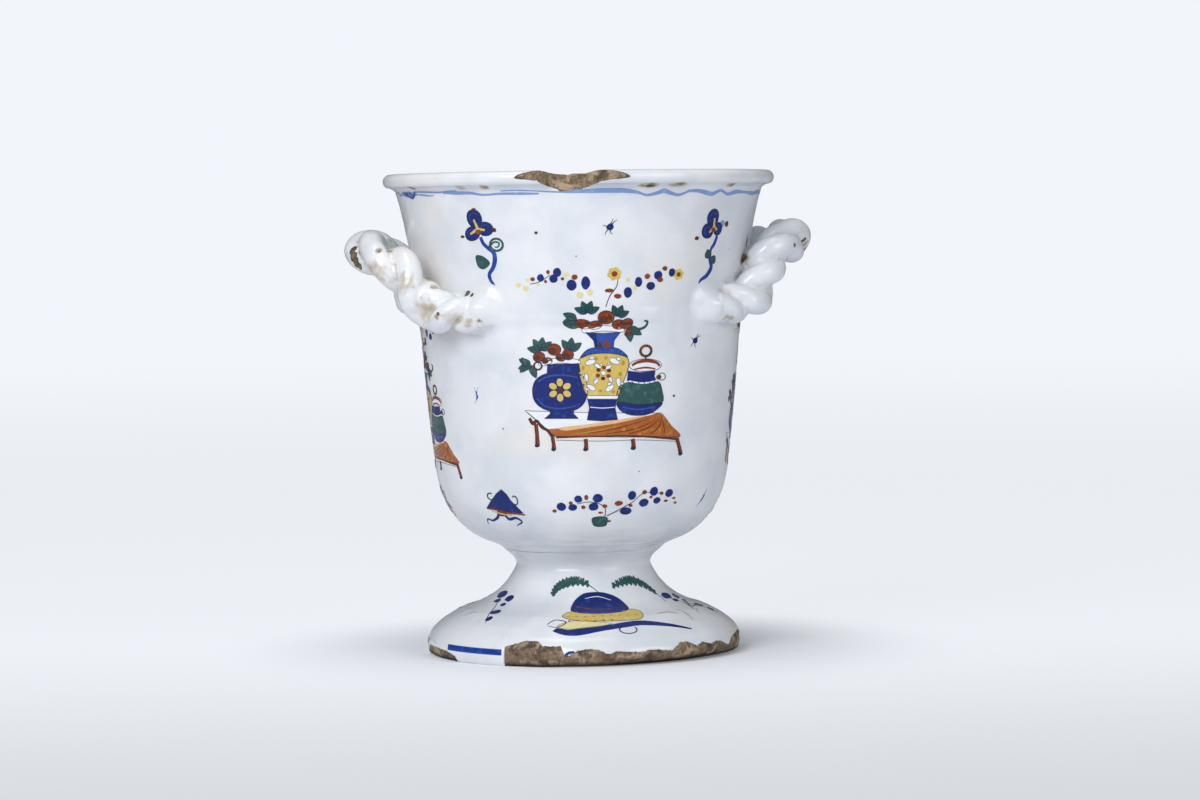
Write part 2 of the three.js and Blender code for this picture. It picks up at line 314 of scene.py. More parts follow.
def closePoles(points, faces, marks, count):
    # The first and last rows are poles: their columns become one point each
    points = points[count - 1:len(points) - count + 1]
    marks = marks[count - 1:len(marks) - count + 1]
    last = len(points) - 1
    kept = []
    for face in faces:
        corners = []
        for index in face:
            place = min(max(index - count + 1, 0), last)
            if place not in corners:
                corners.append(place)
        if len(corners) > 2:
            kept.append(corners)
    return points, kept, marks


def ringedMesh(name, turns, rows, spotFor, poles):
    points, faces, marks = latheShell(turns, rows, spotFor)
    if poles:
        points, faces, marks = closePoles(points, faces, marks, len(turns))
    piece = meshPiece(name, points, faces)
    writeAttribute(piece, "clay", marks)
    return piece


# Bowl: thrown earthenware, 5.5 mm thick, the lip broken at the front
rimBreak = {
    # degrees from the front: slope of the break in degrees, and how deep it goes in mm
    "plane": [
        (-28, 0, 0), (-26, 5, 0.15), (-22, 22, 0.8), (-19.6, 34, 1.6), (-18.2, 27, 3.4), (-16.8, 22, 6.4),
        (-15.2, 20, 7.9), (-13.3, 20, 8.7), (-11.2, 21, 9.2), (-9.5, 18, 8.5), (-7.5, 20, 8.3),
        (-5.6, 21, 7.5),
        (-4.1, 22, 5.6), (-2.9, 27, 3.4), (-1.4, 34, 1.8), (2, 24, 0.9), (5.5, 8, 0.2), (7, 0, 0),
    ],
    "roughness": 0.5, "grain": 0.16, "above": 225,
}
breakSlopes = [(turn, slope) for turn, slope, depth in rimBreak["plane"]]
breakDepths = [(turn, depth) for turn, slope, depth in rimBreak["plane"]]


def insideWall():
    # The inside of the wall, from the lip's root down to the floor
    points = movedIn(wallOutline, bowlForm["wall"])
    points = [p for p in points if p[1] > bowlForm["floorTop"] + 1.5]
    return points[::-1][1::3]


def bowlRows():
    form = bowlForm
    roll = form["lipRoll"]
    rows = [("out", 0.0, form["base"])]
    rows += [("out", r, form["base"]) for r in (12, 24, 34, 39)]
    rows += [("wall", 0, wallOutline[i][1]) for i in range(0, 61, 3)]
    z = form["bellyHeight"]
    while z < form["wallTop"] - 2:
        z += 1.8 if abs(z - form["ridgeHeight"] - 3) < 11 else 3
        rows.append(("wall", 0, min(z, form["wallTop"])))
    middle = (form["rimRadius"] - roll, form["rimTop"] - roll)
    start = (form["wallTopRadius"], form["wallTop"])
    lipFrom = math.radians(form["lipFrom"])
    under = (middle[0] + roll * math.cos(lipFrom), middle[1] + roll * math.sin(lipFrom))
    bend = (mix(start[0], under[0], 0.36), mix(start[1], under[1], 0.82))
    rows += [("out", *quadratic(start, bend, under, i / 9)) for i in range(10)]
    for i in range(1, 21):
        angle = math.radians(mix(form["lipFrom"], form["lipTo"], i / 20))
        rows.append(("out", middle[0] + roll * math.cos(angle), middle[1] + roll * math.sin(angle)))
    inside = insideWall()
    top = rows[-1][1:]
    bend = (mix(top[0], inside[0][0], 0.56), mix(top[1], inside[0][1], 0.095))
    rows += [("in", *quadratic(top, bend, inside[0], i / 12)) for i in range(1, 13)]
    rows += [("in", *point) for point in inside[1:]]
    lowest = inside[-1]
    corner = (lowest[0] - form["floorCorner"], form["floorTop"])
    bend = (lowest[0] - 1.6, form["floorTop"] + 0.3)
    rows += [("in", *quadratic(lowest, bend, corner, i / 4)) for i in range(1, 5)]
    rows += [("in", corner[0] * share, form["floorTop"]) for share in (0.8, 0.55, 0.3, 0.12, 0)]
    return rows


def rimSupport(slope):
    # How far out the lip reaches in the direction in which a break slopes
    middle = (bowlForm["rimRadius"] - bowlForm["lipRoll"], bowlForm["rimTop"] - bowlForm["lipRoll"])
    return middle[0] * math.cos(slope) + middle[1] * math.sin(slope) + bowlForm["lipRoll"]


def bowlSpot(turn, row):
    kind, radius, height = row
    if kind == "wall":
        radius = wallRadius(turn, height)
    elif radius > 1:
        level = max(min(height, bowlForm["wallTop"]), bowlForm["base"])
        ownShare = easeShare(radius, 20, 45)
        radius += (wallRadius(turn, level) - plainWallRadius(level)) * ownShare * (kind == "out" or 0.5)
    clay = 0
    degrees = degreesFromFront(turn)
    depth = valueAt(breakDepths, degrees)
    if depth > 0 and height > rimBreak["above"]:
        slope = math.radians(valueAt(breakSlopes, degrees))
        spot = Vector(roundSpot(turn, radius, height))
        rough = rimBreak["roughness"] * min(depth, 2) / 2 * noise.noise(spot * 0.24)
        rough += rimBreak["roughness"] * min(depth, 3) / 3 * abs(noise.noise(spot * 0.11 + Vector((7, 1, 3))))
        rough += rimBreak["grain"] * min(depth, 1) * noise.noise(spot * 1.3)
        beyond = radius * math.cos(slope) + height * math.sin(slope) - (rimSupport(slope) - depth) + rough
        clay = min(max(0.5 + beyond / 0.7, 0), 1)
        if beyond > 0:
            radius -= beyond * math.cos(slope)
            height -= beyond * math.sin(slope)
    return roundSpot(turn, radius, height), clay


# Iron stains where the glaze ran thin under the lip, and painted shadow on the wall behind the rope loops:
# degrees from the front, height in mm, half width in degrees, half height in mm and strength
lipStainsAndRopeShadows = [
    (-67.7, 237.6, 1.9, 1.0, 1.3), (-45.3, 237.4, 2.4, 1.3, 0.75), (-36.8, 237.3, 1.8, 1.3, 1.2),
    (-31, 237.4, 3, 1, 0.25),
    (13.3, 237.2, 3.9, 1.4, 1.3), (22.9, 237.4, 3.6, 1.3, 1.35), (36.7, 236.8, 1.5, 0.8, 0.35),
    (45, 237.1, 2.4, 1.2, 1.4),
    (-52.6, 242, 0.6, 0.6, 1.3), (-61, 229.5, 0.6, 0.9, 0.3), (-82, 226, 1.6, 6, 0.35),
    # These three lie on the wall behind the rope loops: painted shadow of the rope there, with the glaze gone
    # thin under it
    (-66, 204, 2.6, 6, 0.3),
    (69, 207, 2.2, 6, 1.15), (66.5, 200, 1.8, 3.4, 1.3),
]


def stainMarks(piece):
    marks = []
    for vertex in piece.data.vertices:
        x, y, z = vertex.co / mm
        degrees = math.degrees(math.atan2(x, -y))
        mark = 0
        if z > 195 and math.hypot(x, y) > 80:
            for turn, height, wide, high, strength in lipStainsAndRopeShadows:
                away = math.hypot((degrees - turn) / wide, (z - height) / high)
                mark = max(mark, strength * (1 - easeShare(away, 0.45, 1.25)))
        marks.append(mark)
    writeAttribute(piece, "stainAndShade", marks)


bowl = ringedMesh("bowl_body", columnsRound(-31, 10, 0.4, 1), bowlRows(), bowlSpot, poles=True)
stainMarks(bowl)
print("bowl thrown:", len(bowl.data.polygons), "faces")

# Foot: a hollow dome, its edge flaked along the front down to the buff clay
footBreak = {
    # degrees from the front: how far up the foot's face the glaze is gone, in mm along the face
    "edge": [
        (-92, 0), (-88, 6), (-78, 6.2), (-68, 5.5), (-62, 3.5), (-60.5, 0), (-38.2, 0), (-38, 10.5),
        (-33, 12.7),
        (-30.5, 14.3), (-25.3, 14.2), (-23, 11.4), (-16.5, 11.5), (-15.3, 7.4), (-13.5, 6.4), (-12, 8.4),
        (-9.6, 9.3), (-6, 10), (-2.6, 9.2), (0.6, 7), (3.5, 8.4), (13, 7.3), (16, 8.5), (20, 7.9),
        (24.7, 7.2),
        (29, 10.9), (32.7, 10.9), (36.5, 8.3), (39.7, 10), (44.4, 8.3), (48, 9.3), (51.3, 8.8), (57, 5.9),
        (61, 9.5), (70, 11), (78, 11.5), (86, 8), (92, 3), (95, 0),
    ],
    # degrees from the front: how far the broken edge is cut back under the foot, in mm
    "under": [(-24, 0), (-14, 1.6), (0, 2.6), (10, 4.2), (22, 5.4), (40, 5), (55, 3), (70, 1.2), (82, 0)],
    "depth": 0.7, "roughness": 0.35, "ragged": 0.55,
}


def footBreakEdge(degrees):
    edge = valueAt(footBreak["edge"], degrees)
    if edge > 0.5:
        edge += footBreak["ragged"] * noise.noise(Vector((degrees * 1.1, 0, 0)))
        edge += footBreak["ragged"] * 0.5 * noise.noise(Vector((degrees * 3.1, 4, 0)))
    return max(edge, 0)


def footRows():
    form = footForm
    rows = [("clay", i / 9) for i in range(10)]
    rows += [("glaze", (i / 62) ** 1.15) for i in range(63)]
    boreRadius = form["throatRadius"] - form["wall"]
    rows.append(("inside", (boreRadius, form["height"])))
    rows.append(("inside", (boreRadius, form["height"] - form["boreLength"] / 2)))
    rows.append(("inside", (boreRadius, form["height"] - form["boreLength"])))
    inside = movedIn(footOutline, form["wall"])
    ringInside = form["standRadius"] - form["ringWidth"]
    inside = [p for p in inside if boreRadius + 0.6 < p[0] < ringInside - 0.6 and p[1] < form["throatHeight"]]
    rows += [("inside", p) for p in inside[::-2]]
    rows.append(("inside", (ringInside, 0.8)))
    rows.append(("stand", 0.1))
    rows += [("stand", share) for share in (0.35, 0.6, 0.85)]
    return rows


def footSpotFor(turn, row):
    kind, value = row
    degrees = degreesFromFront(turn)
    edge = footBreakEdge(degrees)
    under = valueAt(footBreak["under"], degrees)
    if kind == "inside":
        return roundSpot(turn, *value), 0
    if kind == "stand":
        outer = footForm["standRadius"] - under - (footBreak["depth"] if edge else 0)
        radius = mix(footForm["standRadius"] - footForm["ringWidth"], outer, value)
        return roundSpot(turn, radius, under * 0.3 * max(value - 0.4, 0)), 1
    if kind == "glaze":
        return onFoot(turn, mix(edge, footLength, value)), 0
    if edge == 0:
        return onFoot(turn, 0), 1 if value == 0 else 0
    arc = edge * value
    spot = Vector(onFoot(turn, arc))
    rough = footBreak["roughness"] * (noise.noise(spot * 0.35) + 0.5 * noise.noise(spot * 1.4))
    sunk = footBreak["depth"] + rough + 0.5 * (1 - value)
    cutBack = under * (1 - easeShare(arc, 0, 5.5))
    radius, height = footSpot(turn, arc)
    height = max(height - 0.25 * sunk * value, 0) + 0.18 * cutBack
    return roundSpot(turn, radius - (sunk + cutBack), height), 1


foot = ringedMesh("foot_body", columnsRound(-86, 96, 0.4, 1.5), footRows(), footSpotFor, poles=False)
print("foot thrown:", len(foot.data.polygons), "faces")

# Slip that joins foot and bowl, wiped smooth round the neck
slipForm = {
    "outline": [
        (28.7, 53.5), (37.9, 51.5), (39.15, 51.8), (40, 52.6), (41, 53.55), (42.1, 54.5), (43.4, 55.3),
        (44.9, 56), (46.4, 56.65), (46.6, 57.1), (44, 56.2), (28.7, 55.6),
    ],
    "unevenness": 0.06, "unevenBeyond": 35,
}


def slipSpot(turn, row):
    radius, height = row
    if radius > slipForm["unevenBeyond"]:
        place = Vector((math.sin(turn) * 3, math.cos(turn) * 3, height))
        radius += slipForm["unevenness"] * noise.noise(place)
    return roundSpot(turn, radius, height), 0


slipRows = []
for (r0, z0), (r1, z1) in zip(slipForm["outline"], slipForm["outline"][1:] + slipForm["outline"][:1]):
    slipRows += [(mix(r0, r1, share), mix(z0, z1, share)) for share in (0, 0.5)]
slip = ringedMesh("slip_ring", columnsRound(0, 90, 1.5, 1.5), slipRows, slipSpot, poles=False)

# Rope handles: two rolled coils of clay twisted together, bent into a loop and pressed on to the wall
ropeForm = {
    "coilRadius": 6.3, "coilOffset": 4.9, "endTurn": 45.6, "loopTurn": 27.1,
    "endHeight": 176.9, "loopRise": 32.6, "loopReach": 21.9, "wallHug": 7.7,
    "pressedOver": 16, "endTaper": 0.78, "handRolled": 0.55, "sunkInWall": 2.4, "twistBlend": 7,
    "roundSteps": 44, "stepsPerStation": 24, "stepsInAll": 240, "layFrom": 4, "layTo": 8,
}
# Each rope as the hand left it: how far it strays up and out from the even path at each station, in
# millimetres, and the degrees of twist that it has reached at some lengths along it
handleSides = {
    "right": {
        "turn": math.pi / 2, "seed": 4.0, "stainedAndShaded": 0.4,
        "strays": [(3, 0), (2, 0), (0, 0), (0, 0), (0, -1), (1, -2), (2, -2.5), (1, -0.5)] + [(0, 0)] * 9,
        "twist": [
            (2, 178), (20, 335), (41.5, 505), (54, 681), (80, 810), (100, 905), (140, 1240), (191, 1700),
        ],
    },
    "left": {
        "turn": -math.pi / 2, "seed": 11.0, "stainedAndShaded": 1,
        "strays": [
            (0, 0), (0, 0), (0, 0), (0, -1), (0, -2.5), (0, -3), (0, -2), (-1.5, -1), (-2.5, 0), (-3.5, 0),
            (-5, 0), (-5, 0), (-5, 0), (-2.5, 0), (-1.5, 0), (-2, 0), (-3, 0),
        ],
        "twist": [
            (0, 320), (40, 680), (80, 1030), (100, 1140), (125, 1250), (146, 1419), (163, 1594),
            (176, 1439), (191, 1259),
        ],
    },
}


# Knocks, stains and painted shade on the ropes: place in mm, radius in mm, and how strong a mark it is
# (0 for a chip in the glaze, above 1 for the darkest: dark iron, and painted shade in a hole of a coil and
# in the hollows where the coils meet each other and the wall)
ropeMarks = {
    "left": [
        ((-116.4, -5.5, 207.5), 2.6, 0), ((-116.6, -8, 204), 3, 0), ((-115.6, -10.8, 200.6), 2.8, 0),
        ((-113.8, -13, 198.6), 1.8, 0), ((-105.8, -34.3, 207.1), 2.6, 1.3), ((-80.3, -39.3, 191.8), 5, 1.35),
        ((-79.7, -48.3, 188.4), 3, 1.2), ((-81, -26.6, 195.7), 4.6, 1.4), ((-95.4, 17.4, 210.2), 4, 0.7),
        ((-91, 31.9, 210.1), 4, 0.6), ((-79.7, -59.9, 174.1), 2.1, 1.2), ((-79, -60.5, 175.6), 1.2, 0),
        ((-63.2, -56.4, 184.5), 2.3, 0), ((-61.4, -60, 183.4), 2, 0), ((-59.4, -66.8, 171.6), 1.6, 1.2),
        ((-107.9, -35.8, 195.2), 9, 0.75), ((-94.7, -48.6, 190.9), 8, 0.7), ((-83.6, -50, 176.9), 9, 0.75),
        ((-72.6, -63.5, 173.4), 7, 0.65), ((-100, -44, 188), 7, 0.6), ((-66, -66, 170), 5, 0.8),
        ((-112, -20, 198), 7, 0.6),
    ],
    "right": [
        ((113.9, -13.5, 208.5), 2.6, 0), ((104.4, -40.2, 206.6), 1.2, 0), ((118, 0.4, 204.2), 3, 0),
        ((116.5, -7, 206.5), 3.4, 1.1),
        ((79.4, -37.3, 201.4), 6, 1.25), ((93.8, 19.6, 206.5), 5, 0.5), ((73.4, -43.8, 190.4), 4, 0.7),
        ((82.4, -50.2, 186.4), 4, 0.3), ((66, -62, 171), 4, 0.7), ((66.6, -67.6, 178.1), 1.1, 1.3),
    ],
}


def markRope(piece, side):
    stainsAndShade, chips = [], []
    for vertex in piece.data.vertices:
        spot = vertex.co / mm
        stainAndShade, chip = 0, 0
        for place, radius, strength in ropeMarks[side]:
            away = (spot - Vector(place)).length / radius
            if away > 1.5:
                continue
            away += 0.35 * noise.noise(spot * 0.45)
            if strength:
                stainAndShade = max(stainAndShade, strength * (1 - easeShare(away, 0.35, 1.15)))
            else:
                chip = max(chip, min(max(1.5 - away, 0), 1))
        stainsAndShade.append(stainAndShade)
        chips.append(chip)
    writeAttribute(piece, "stainAndShade", stainsAndShade)
    writeAttribute(piece, "clay", chips)


def ropePath(side):
    # The rope's middle line as if it sat at +X, from one end round to the other
    form = ropeForm
    end, loop = form["endTurn"], form["loopTurn"]
    half = [
        (end, 0, -0.5), (end - 6, 0, -0.14), (end - 11, 0, 0), (loop + 4, 0.07, 0.08), (loop, 0.235, 0.19),
        (loop - 3, 0.495, 0.37), (loop * 0.7, 0.83, 0.65), (loop * 0.37, 0.94, 0.92), (0, 1, 1),
    ]
    stations = [(-turn, rise, reach) for turn, rise, reach in half] + half[-2::-1]
    corners = []
    for (turn, rise, reach), (higher, further) in zip(stations, handleSides[side]["strays"]):
        height = form["endHeight"] + form["loopRise"] * rise + higher
        radius = plainWallRadius(height) + mix(form["wallHug"], form["loopReach"], reach) + further
        angle = math.radians(turn)
        corners.append(Vector((radius * math.cos(angle), radius * math.sin(angle), height)))
    corners = [corners[0] * 2 - corners[1]] + corners + [corners[-1] * 2 - corners[-2]]
    fine = []
    for i in range(1, len(corners) - 2):
        a, b, c, d = corners[i - 1:i + 3]
        for step in range(form["stepsPerStation"]):
            fine.append(throughPoint(a, b, c, d, step / form["stepsPerStation"]))
    fine.append(corners[-2])
    lengths = [0.0]
    for a, b in zip(fine, fine[1:]):
        lengths.append(lengths[-1] + (b - a).length)
    count = form["stepsInAll"]
    path = []
    index = 0
    for k in range(count + 1):
        goal = lengths[-1] * k / count
        while index < len(lengths) - 2 and lengths[index + 1] < goal:
            index += 1
        share = (goal - lengths[index]) / (lengths[index + 1] - lengths[index])
        path.append(fine[index].lerp(fine[index + 1], share))
    return path


ropeMiddles = {side: ropePath(side) for side in handleSides}


def handTwist(side):
    # Angle of the twist at every point of the path, its changes of rate blended into one another
    table, blend = handleSides[side]["twist"], ropeForm["twistBlend"]
    path = ropeMiddles[side]
    step = (path[1] - path[0]).length
    angles = []
    for i in range(len(path)):
        near = [valueAt(table, i * step + share * blend) for share in (-1, -0.5, 0, 0.5, 1)]
        angles.append(math.radians(sum(near) / len(near)))
    return angles


def ropeTaper(point):
    turn = abs(math.degrees(math.atan2(point.y, point.x)))
    pressed = easeShare(turn, ropeForm["endTurn"] - ropeForm["pressedOver"], ropeForm["endTurn"])
    return mix(1, ropeForm["endTaper"], pressed)


def handlePlace(side):
    # Turns a point of the +X handle to its own side
    return Matrix.Rotation(handleSides[side]["turn"] - math.pi / 2, 3, "Z")


def coilTree():
    # Winds a coil of clay round the path by its twist, and makes it as uneven as a hand-rolled one
    tree, given = pieceTree("rolledCoil", (
        ("Coil Radius", "NodeSocketFloat", 0.005), ("Coil Offset", "NodeSocketFloat", 0.006),
        ("Twist Start", "NodeSocketFloat", 0.0), ("Unevenness", "NodeSocketFloat", 0.0005),
        ("Seed", "NodeSocketFloat", 1.0), ("Glaze", "NodeSocketMaterial", None),
    ))
    path = addNode(tree, "GeometryNodeMeshToCurve", Mesh=given["Geometry"])
    along = addNode(tree, "GeometryNodeInputTangent").outputs["Tangent"]
    side = reckonVector(tree, "CROSS_PRODUCT", (0, 0, 1), along)
    side = addNode(tree, "ShaderNodeVectorMath", {"operation": "NORMALIZE"}, i0=side).outputs[0]
    up = reckonVector(tree, "CROSS_PRODUCT", along, side)
    twist = addNode(tree, "GeometryNodeInputNamedAttribute", {"data_type": "FLOAT"}, Name="twist").outputs[0]
    angle = reckon(tree, "ADD", twist, given["Twist Start"])
    taper = addNode(tree, "GeometryNodeInputNamedAttribute", {"data_type": "FLOAT"}, Name="taper").outputs[0]
    reach = reckon(tree, "MULTIPLY", taper, given["Coil Offset"])
    offsets = []
    for operation, direction in (("COSINE", side), ("SINE", up)):
        part = reckon(tree, "MULTIPLY", reckon(tree, operation, angle), reach)
        scaled = addNode(tree, "ShaderNodeVectorMath", {"operation": "SCALE"}, i0=direction, Scale=part)
        offsets.append(scaled.outputs[0])
    offset = reckonVector(tree, "ADD", *offsets)
    helix = addNode(tree, "GeometryNodeSetPosition", Geometry=path.outputs[0], Offset=offset)
    ring = addNode(
        tree, "GeometryNodeCurvePrimitiveCircle", Resolution=ropeForm["roundSteps"],
        Radius=given["Coil Radius"],
    )
    tube = addNode(
        tree, "GeometryNodeCurveToMesh", Curve=helix.outputs[0], i1=ring.outputs["Curve"], Scale=taper,
    )
    tube.inputs["Fill Caps"].default_value = True
    place = addNode(tree, "GeometryNodeInputPosition").outputs[0]
    grain = addNode(
        tree, "ShaderNodeTexNoise", {"noise_dimensions": "4D"},
        Vector=place, W=given["Seed"], Scale=95, Detail=1.5,
    ).outputs[0]
    grain = reckon(tree, "SUBTRACT", grain, 0.5)
    grain = reckon(tree, "MULTIPLY", grain, given["Unevenness"])
    grain = reckon(tree, "MULTIPLY", grain, 2.0)
    facing = addNode(tree, "GeometryNodeInputNormal").outputs[0]
    swell = addNode(tree, "ShaderNodeVectorMath", {"operation": "SCALE"}, i0=facing, Scale=grain).outputs[0]
    rolled = addNode(tree, "GeometryNodeSetPosition", Geometry=tube.outputs[0], Offset=swell)
    smooth = addNode(tree, "GeometryNodeSetShadeSmooth", i0=rolled.outputs[0])
    whole = addNode(tree, "GeometryNodeRealizeInstances", Geometry=smooth.outputs[0])
    return treeGives(tree, whole.outputs[0], given["Glaze"])


def sinkAndMark(piece, side, middle):
    # Keeps what lies deep in the wall just below its glaze, and marks the lay between the coils
    crevice = []
    for vertex in piece.data.vertices:
        spot = vertex.co / mm
        turn = math.atan2(spot.x, -spot.y)
        least = wallRadius(turn, spot.z) - ropeForm["sunkInWall"]
        radius = math.hypot(spot.x, spot.y)
        if radius < least:
            spot.x, spot.y = spot.x * least / radius, spot.y * least / radius
            vertex.co = spot * mm
        near = min((spot - p).length for p in middle[::8])
        shown = 1 - easeShare(near, ropeForm["layFrom"], ropeForm["layTo"])
        crevice.append(handleSides[side]["stainedAndShaded"] * shown)
    writeAttribute(piece, "crevice", crevice)


def rollCoil(name, side, start, tree, glaze):
    place = handlePlace(side)
    points = [tuple(place @ p) for p in ropeMiddles[side]]
    piece = meshPiece(name, points, [], edges=[(i, i + 1) for i in range(len(points) - 1)])
    writeAttribute(piece, "taper", [ropeTaper(p) for p in ropeMiddles[side]])
    writeAttribute(piece, "twist", handTwist(side))
    growMesh(piece, tree, {
        "Coil Radius": ropeForm["coilRadius"] * mm, "Coil Offset": ropeForm["coilOffset"] * mm,
        "Twist Start": start, "Unevenness": ropeForm["handRolled"] * mm,
        "Seed": handleSides[side]["seed"] + start, "Glaze": glaze,
    })
    sinkAndMark(piece, side, [place @ p for p in ropeMiddles[side]])
    markRope(piece, side)
    return piece


padForm = {
    "away": 46.5, "above": 0.5, "halfWidth": 17.5, "halfHeight": 15.5, "rise": 8.6,
    "edgeSunk": 0.1, "bedded": 2.2, "unevenness": 0.12, "rings": 16, "spokes": 56,
}


def padFaces(rings, spokes):
    # Faces of a mound over its bed, and the band that joins their edges
    size = rings * spokes
    faces = []
    for level in range(2):
        start, cap = level * size, 2 * size + level
        for j in range(spokes):
            k = (j + 1) % spokes
            wedge = [(start + j, start + k, cap)]
            for i in range(rings - 1):
                inner, outer = start + i * spokes, start + (i + 1) * spokes
                wedge.append((inner + j, outer + j, outer + k, inner + k))
            faces += [face[::-1] for face in wedge] if level else wedge
    rim = (rings - 1) * spokes
    for j in range(spokes):
        k = (j + 1) % spokes
        faces.append((rim + j, size + rim + j, size + rim + k, rim + k))
    return faces


def padLump(name, side, degrees):
    # A lump of clay thumbed on to the wall: a shallow mound whose edge dips under the glaze
    form = padForm
    centre, height = math.radians(degrees), ropeForm["endHeight"] + form["above"]
    points = []
    for level in range(2):
        for i in range(1, form["rings"] + 1):
            reach = i / form["rings"]
            lift = -form["edgeSunk"] + (form["rise"] + form["edgeSunk"]) * (1 - reach * reach) ** 3
            for j in range(form["spokes"]):
                angle = 2 * math.pi * j / form["spokes"]
                place = Vector((math.cos(angle) * 1.3, math.sin(angle) * 1.3, degrees))
                uneven = 1 + form["unevenness"] * noise.noise(place)
                x = form["halfWidth"] * reach * math.cos(angle) * uneven
                y = form["halfHeight"] * reach * math.sin(angle) * uneven
                turn = centre + x / wallRadius(centre, height)
                points.append(onWall(turn, height + y, -form["bedded"] if level else lift))
    points += [onWall(centre, height, lift) for lift in (form["rise"], -form["bedded"])]
    piece = meshPiece(name, points, padFaces(form["rings"], form["spokes"]))
    mesh = bmesh.new()
    mesh.from_mesh(piece.data)
    bmesh.ops.recalc_face_normals(mesh, faces=mesh.faces)
    mesh.to_mesh(piece.data)
    mesh.free()
    writeAttribute(piece, "crevice", [0] * len(points))
    markRope(piece, side)
    return piece


glazeFlow = {
    "voxel": 0.85, "smoothing": 26, "strength": 0.5, "wallBottom": 158, "wallTop": 206,
    "wallFrom": 22, "wallTo": 62, "wallSunk": 0.45, "wallDeep": 3, "columns": 40, "rows": 26,
    "layFrom": 7.4, "layTo": 9.6,
}


def wallPatch(low, high):
    # A slab of the wall itself, so that the flowing glaze has something to run down to
    columns, rows = glazeFlow["columns"], glazeFlow["rows"]
    points, faces = [], []
    for lift in (-glazeFlow["wallSunk"], -glazeFlow["wallDeep"]):
        for i in range(rows):
            level = mix(glazeFlow["wallBottom"], glazeFlow["wallTop"], i / (rows - 1))
            for j in range(columns):
                points.append(onWall(math.radians(mix(low, high, j / (columns - 1))), level, lift))
    size = rows * columns
    for i in range(rows - 1):
        for j in range(columns - 1):
            a = i * columns + j
            face = (a, a + 1, a + columns + 1, a + columns)
            faces.append(face)
            faces.append(tuple(size + v for v in face[::-1]))
    edge = list(range(columns)) + [i * columns + columns - 1 for i in range(1, rows)]
    edge += [size - 1 - j for j in range(1, columns)] + [i * columns for i in range(rows - 2, 0, -1)]
    for a, b in zip(edge, edge[1:] + edge[:1]):
        faces.append((b, a, size + a, size + b))
    return points, faces


def meltTogether(name, parts, patches):
    mesh = bmesh.new()
    for part in parts:
        mesh.from_mesh(part.data)
    for points, faces in patches:
        vertices = [mesh.verts.new(Vector(p) * mm) for p in points]
        for face in faces:
            mesh.faces.new([vertices[i] for i in face])
    data = bpy.data.meshes.new(name)
    mesh.to_mesh(data)
    mesh.free()
    piece = linkedObject(name, data)
    remesh = piece.modifiers.new("melt", "REMESH")
    remesh.mode = "VOXEL"
    remesh.voxel_size = glazeFlow["voxel"] * mm
    remesh.use_smooth_shade = True
    plainMesh(piece)
    slump = piece.modifiers.new("slump", "SMOOTH")
    slump.factor = glazeFlow["strength"]
    slump.iterations = glazeFlow["smoothing"]
    return plainMesh(piece)


def flowGlaze(name, side, parts):
    # Glaze pooled in the lay of the rope and round its ends: all parts melted together and slumped
    middle = math.degrees(handleSides[side]["turn"])
    near, far = glazeFlow["wallFrom"], glazeFlow["wallTo"]
    patches = [wallPatch(middle - far, middle - near), wallPatch(middle + near, middle + far)]
    piece = meltTogether(name, parts, patches)
    place = handlePlace(side)
    path = [(place @ p, ropeTaper(p)) for p in ropeMiddles[side][::6]]
    filled = []
    for vertex in piece.data.vertices:
        spot = vertex.co / mm
        away = min((spot - p).length / taper for p, taper in path)
        shown = 1 - easeShare(away, glazeFlow["layFrom"], glazeFlow["layTo"])
        filled.append(handleSides[side]["stainedAndShaded"] * shown)
    writeAttribute(piece, "crevice", filled)
    markRope(piece, side)
    return piece


# Glazes and clay: colours, among them those of stains and of painted shade, how shiny each is, the size of
# its mottling and pinholes in mm, and the heights in mm over which painted shade darkens the clay by the
# table
glazeLook = {
    "white": "#E3E6EA", "greyer": "#D3D8DF", "warmer": "#E4DFDA", "stainAndShade": "#B3A58E",
    "darkStainAndShade": "#4A3D31", "paintedTableShade": "#231C17", "clayLight": "#8F7C64", "clayDark": "#604E3E",
    "clayPale": "#A8937A", "roughness": 0.13, "clayRoughness": 0.88, "ior": 1.5, "specular": 0.5,
    "mottle": 28, "blush": 60, "peel": 5, "pinholes": 5.5, "pinholeShare": 0.62,
    "paintedTableShadeFrom": 3.2, "paintedTableShadeTo": 0.3, "relief": 0.35,
}


def newMaterial(name):
    material = bpy.data.materials.new(name)
    material.use_nodes = True
    material.node_tree.nodes.clear()
    return material, material.node_tree


def colourMix(tree, share, a, b, blend="MIX"):
    node = tree.nodes.new("ShaderNodeMix")
    node.data_type = "RGBA"
    node.blend_type = blend
    for index, value in ((0, share), (6, a), (7, b)):
        if isinstance(value, bpy.types.NodeSocket):
            tree.links.new(value, node.inputs[index])
        else:
            node.inputs[index].default_value = value
    return node.outputs[2]


def shareBetween(tree, value, low, high, lowest=0.0, highest=1.0, kind="SMOOTHSTEP"):
    # Climbs from lowest to highest while the value goes from low to high
    node = addNode(tree, "ShaderNodeMapRange", {"interpolation_type": kind}, Value=value)
    for name, number in (("From Min", low), ("From Max", high), ("To Min", lowest), ("To Max", highest)):
        node.inputs[name].default_value = number
    return node.outputs[0]


def perMetre(size):
    # Scale of a pattern whose features measure this many millimetres
    return 1 / (size * mm)


def clouds(tree, place, size, detail, roughness=0.5):
    return addNode(
        tree, "ShaderNodeTexNoise", Vector=place, Scale=perMetre(size), Detail=detail, Roughness=roughness,
    ).outputs[0]


def vertexMark(tree, name):
    return addNode(tree, "ShaderNodeAttribute", {"attribute_name": name}).outputs["Fac"]


def tinted(tree, colour, mark, low, high, name):
    # Brings in another of the glaze's colours while a mark climbs from low to high
    return colourMix(tree, shareBetween(tree, mark, low, high), colour, linearColour(glazeLook[name]))


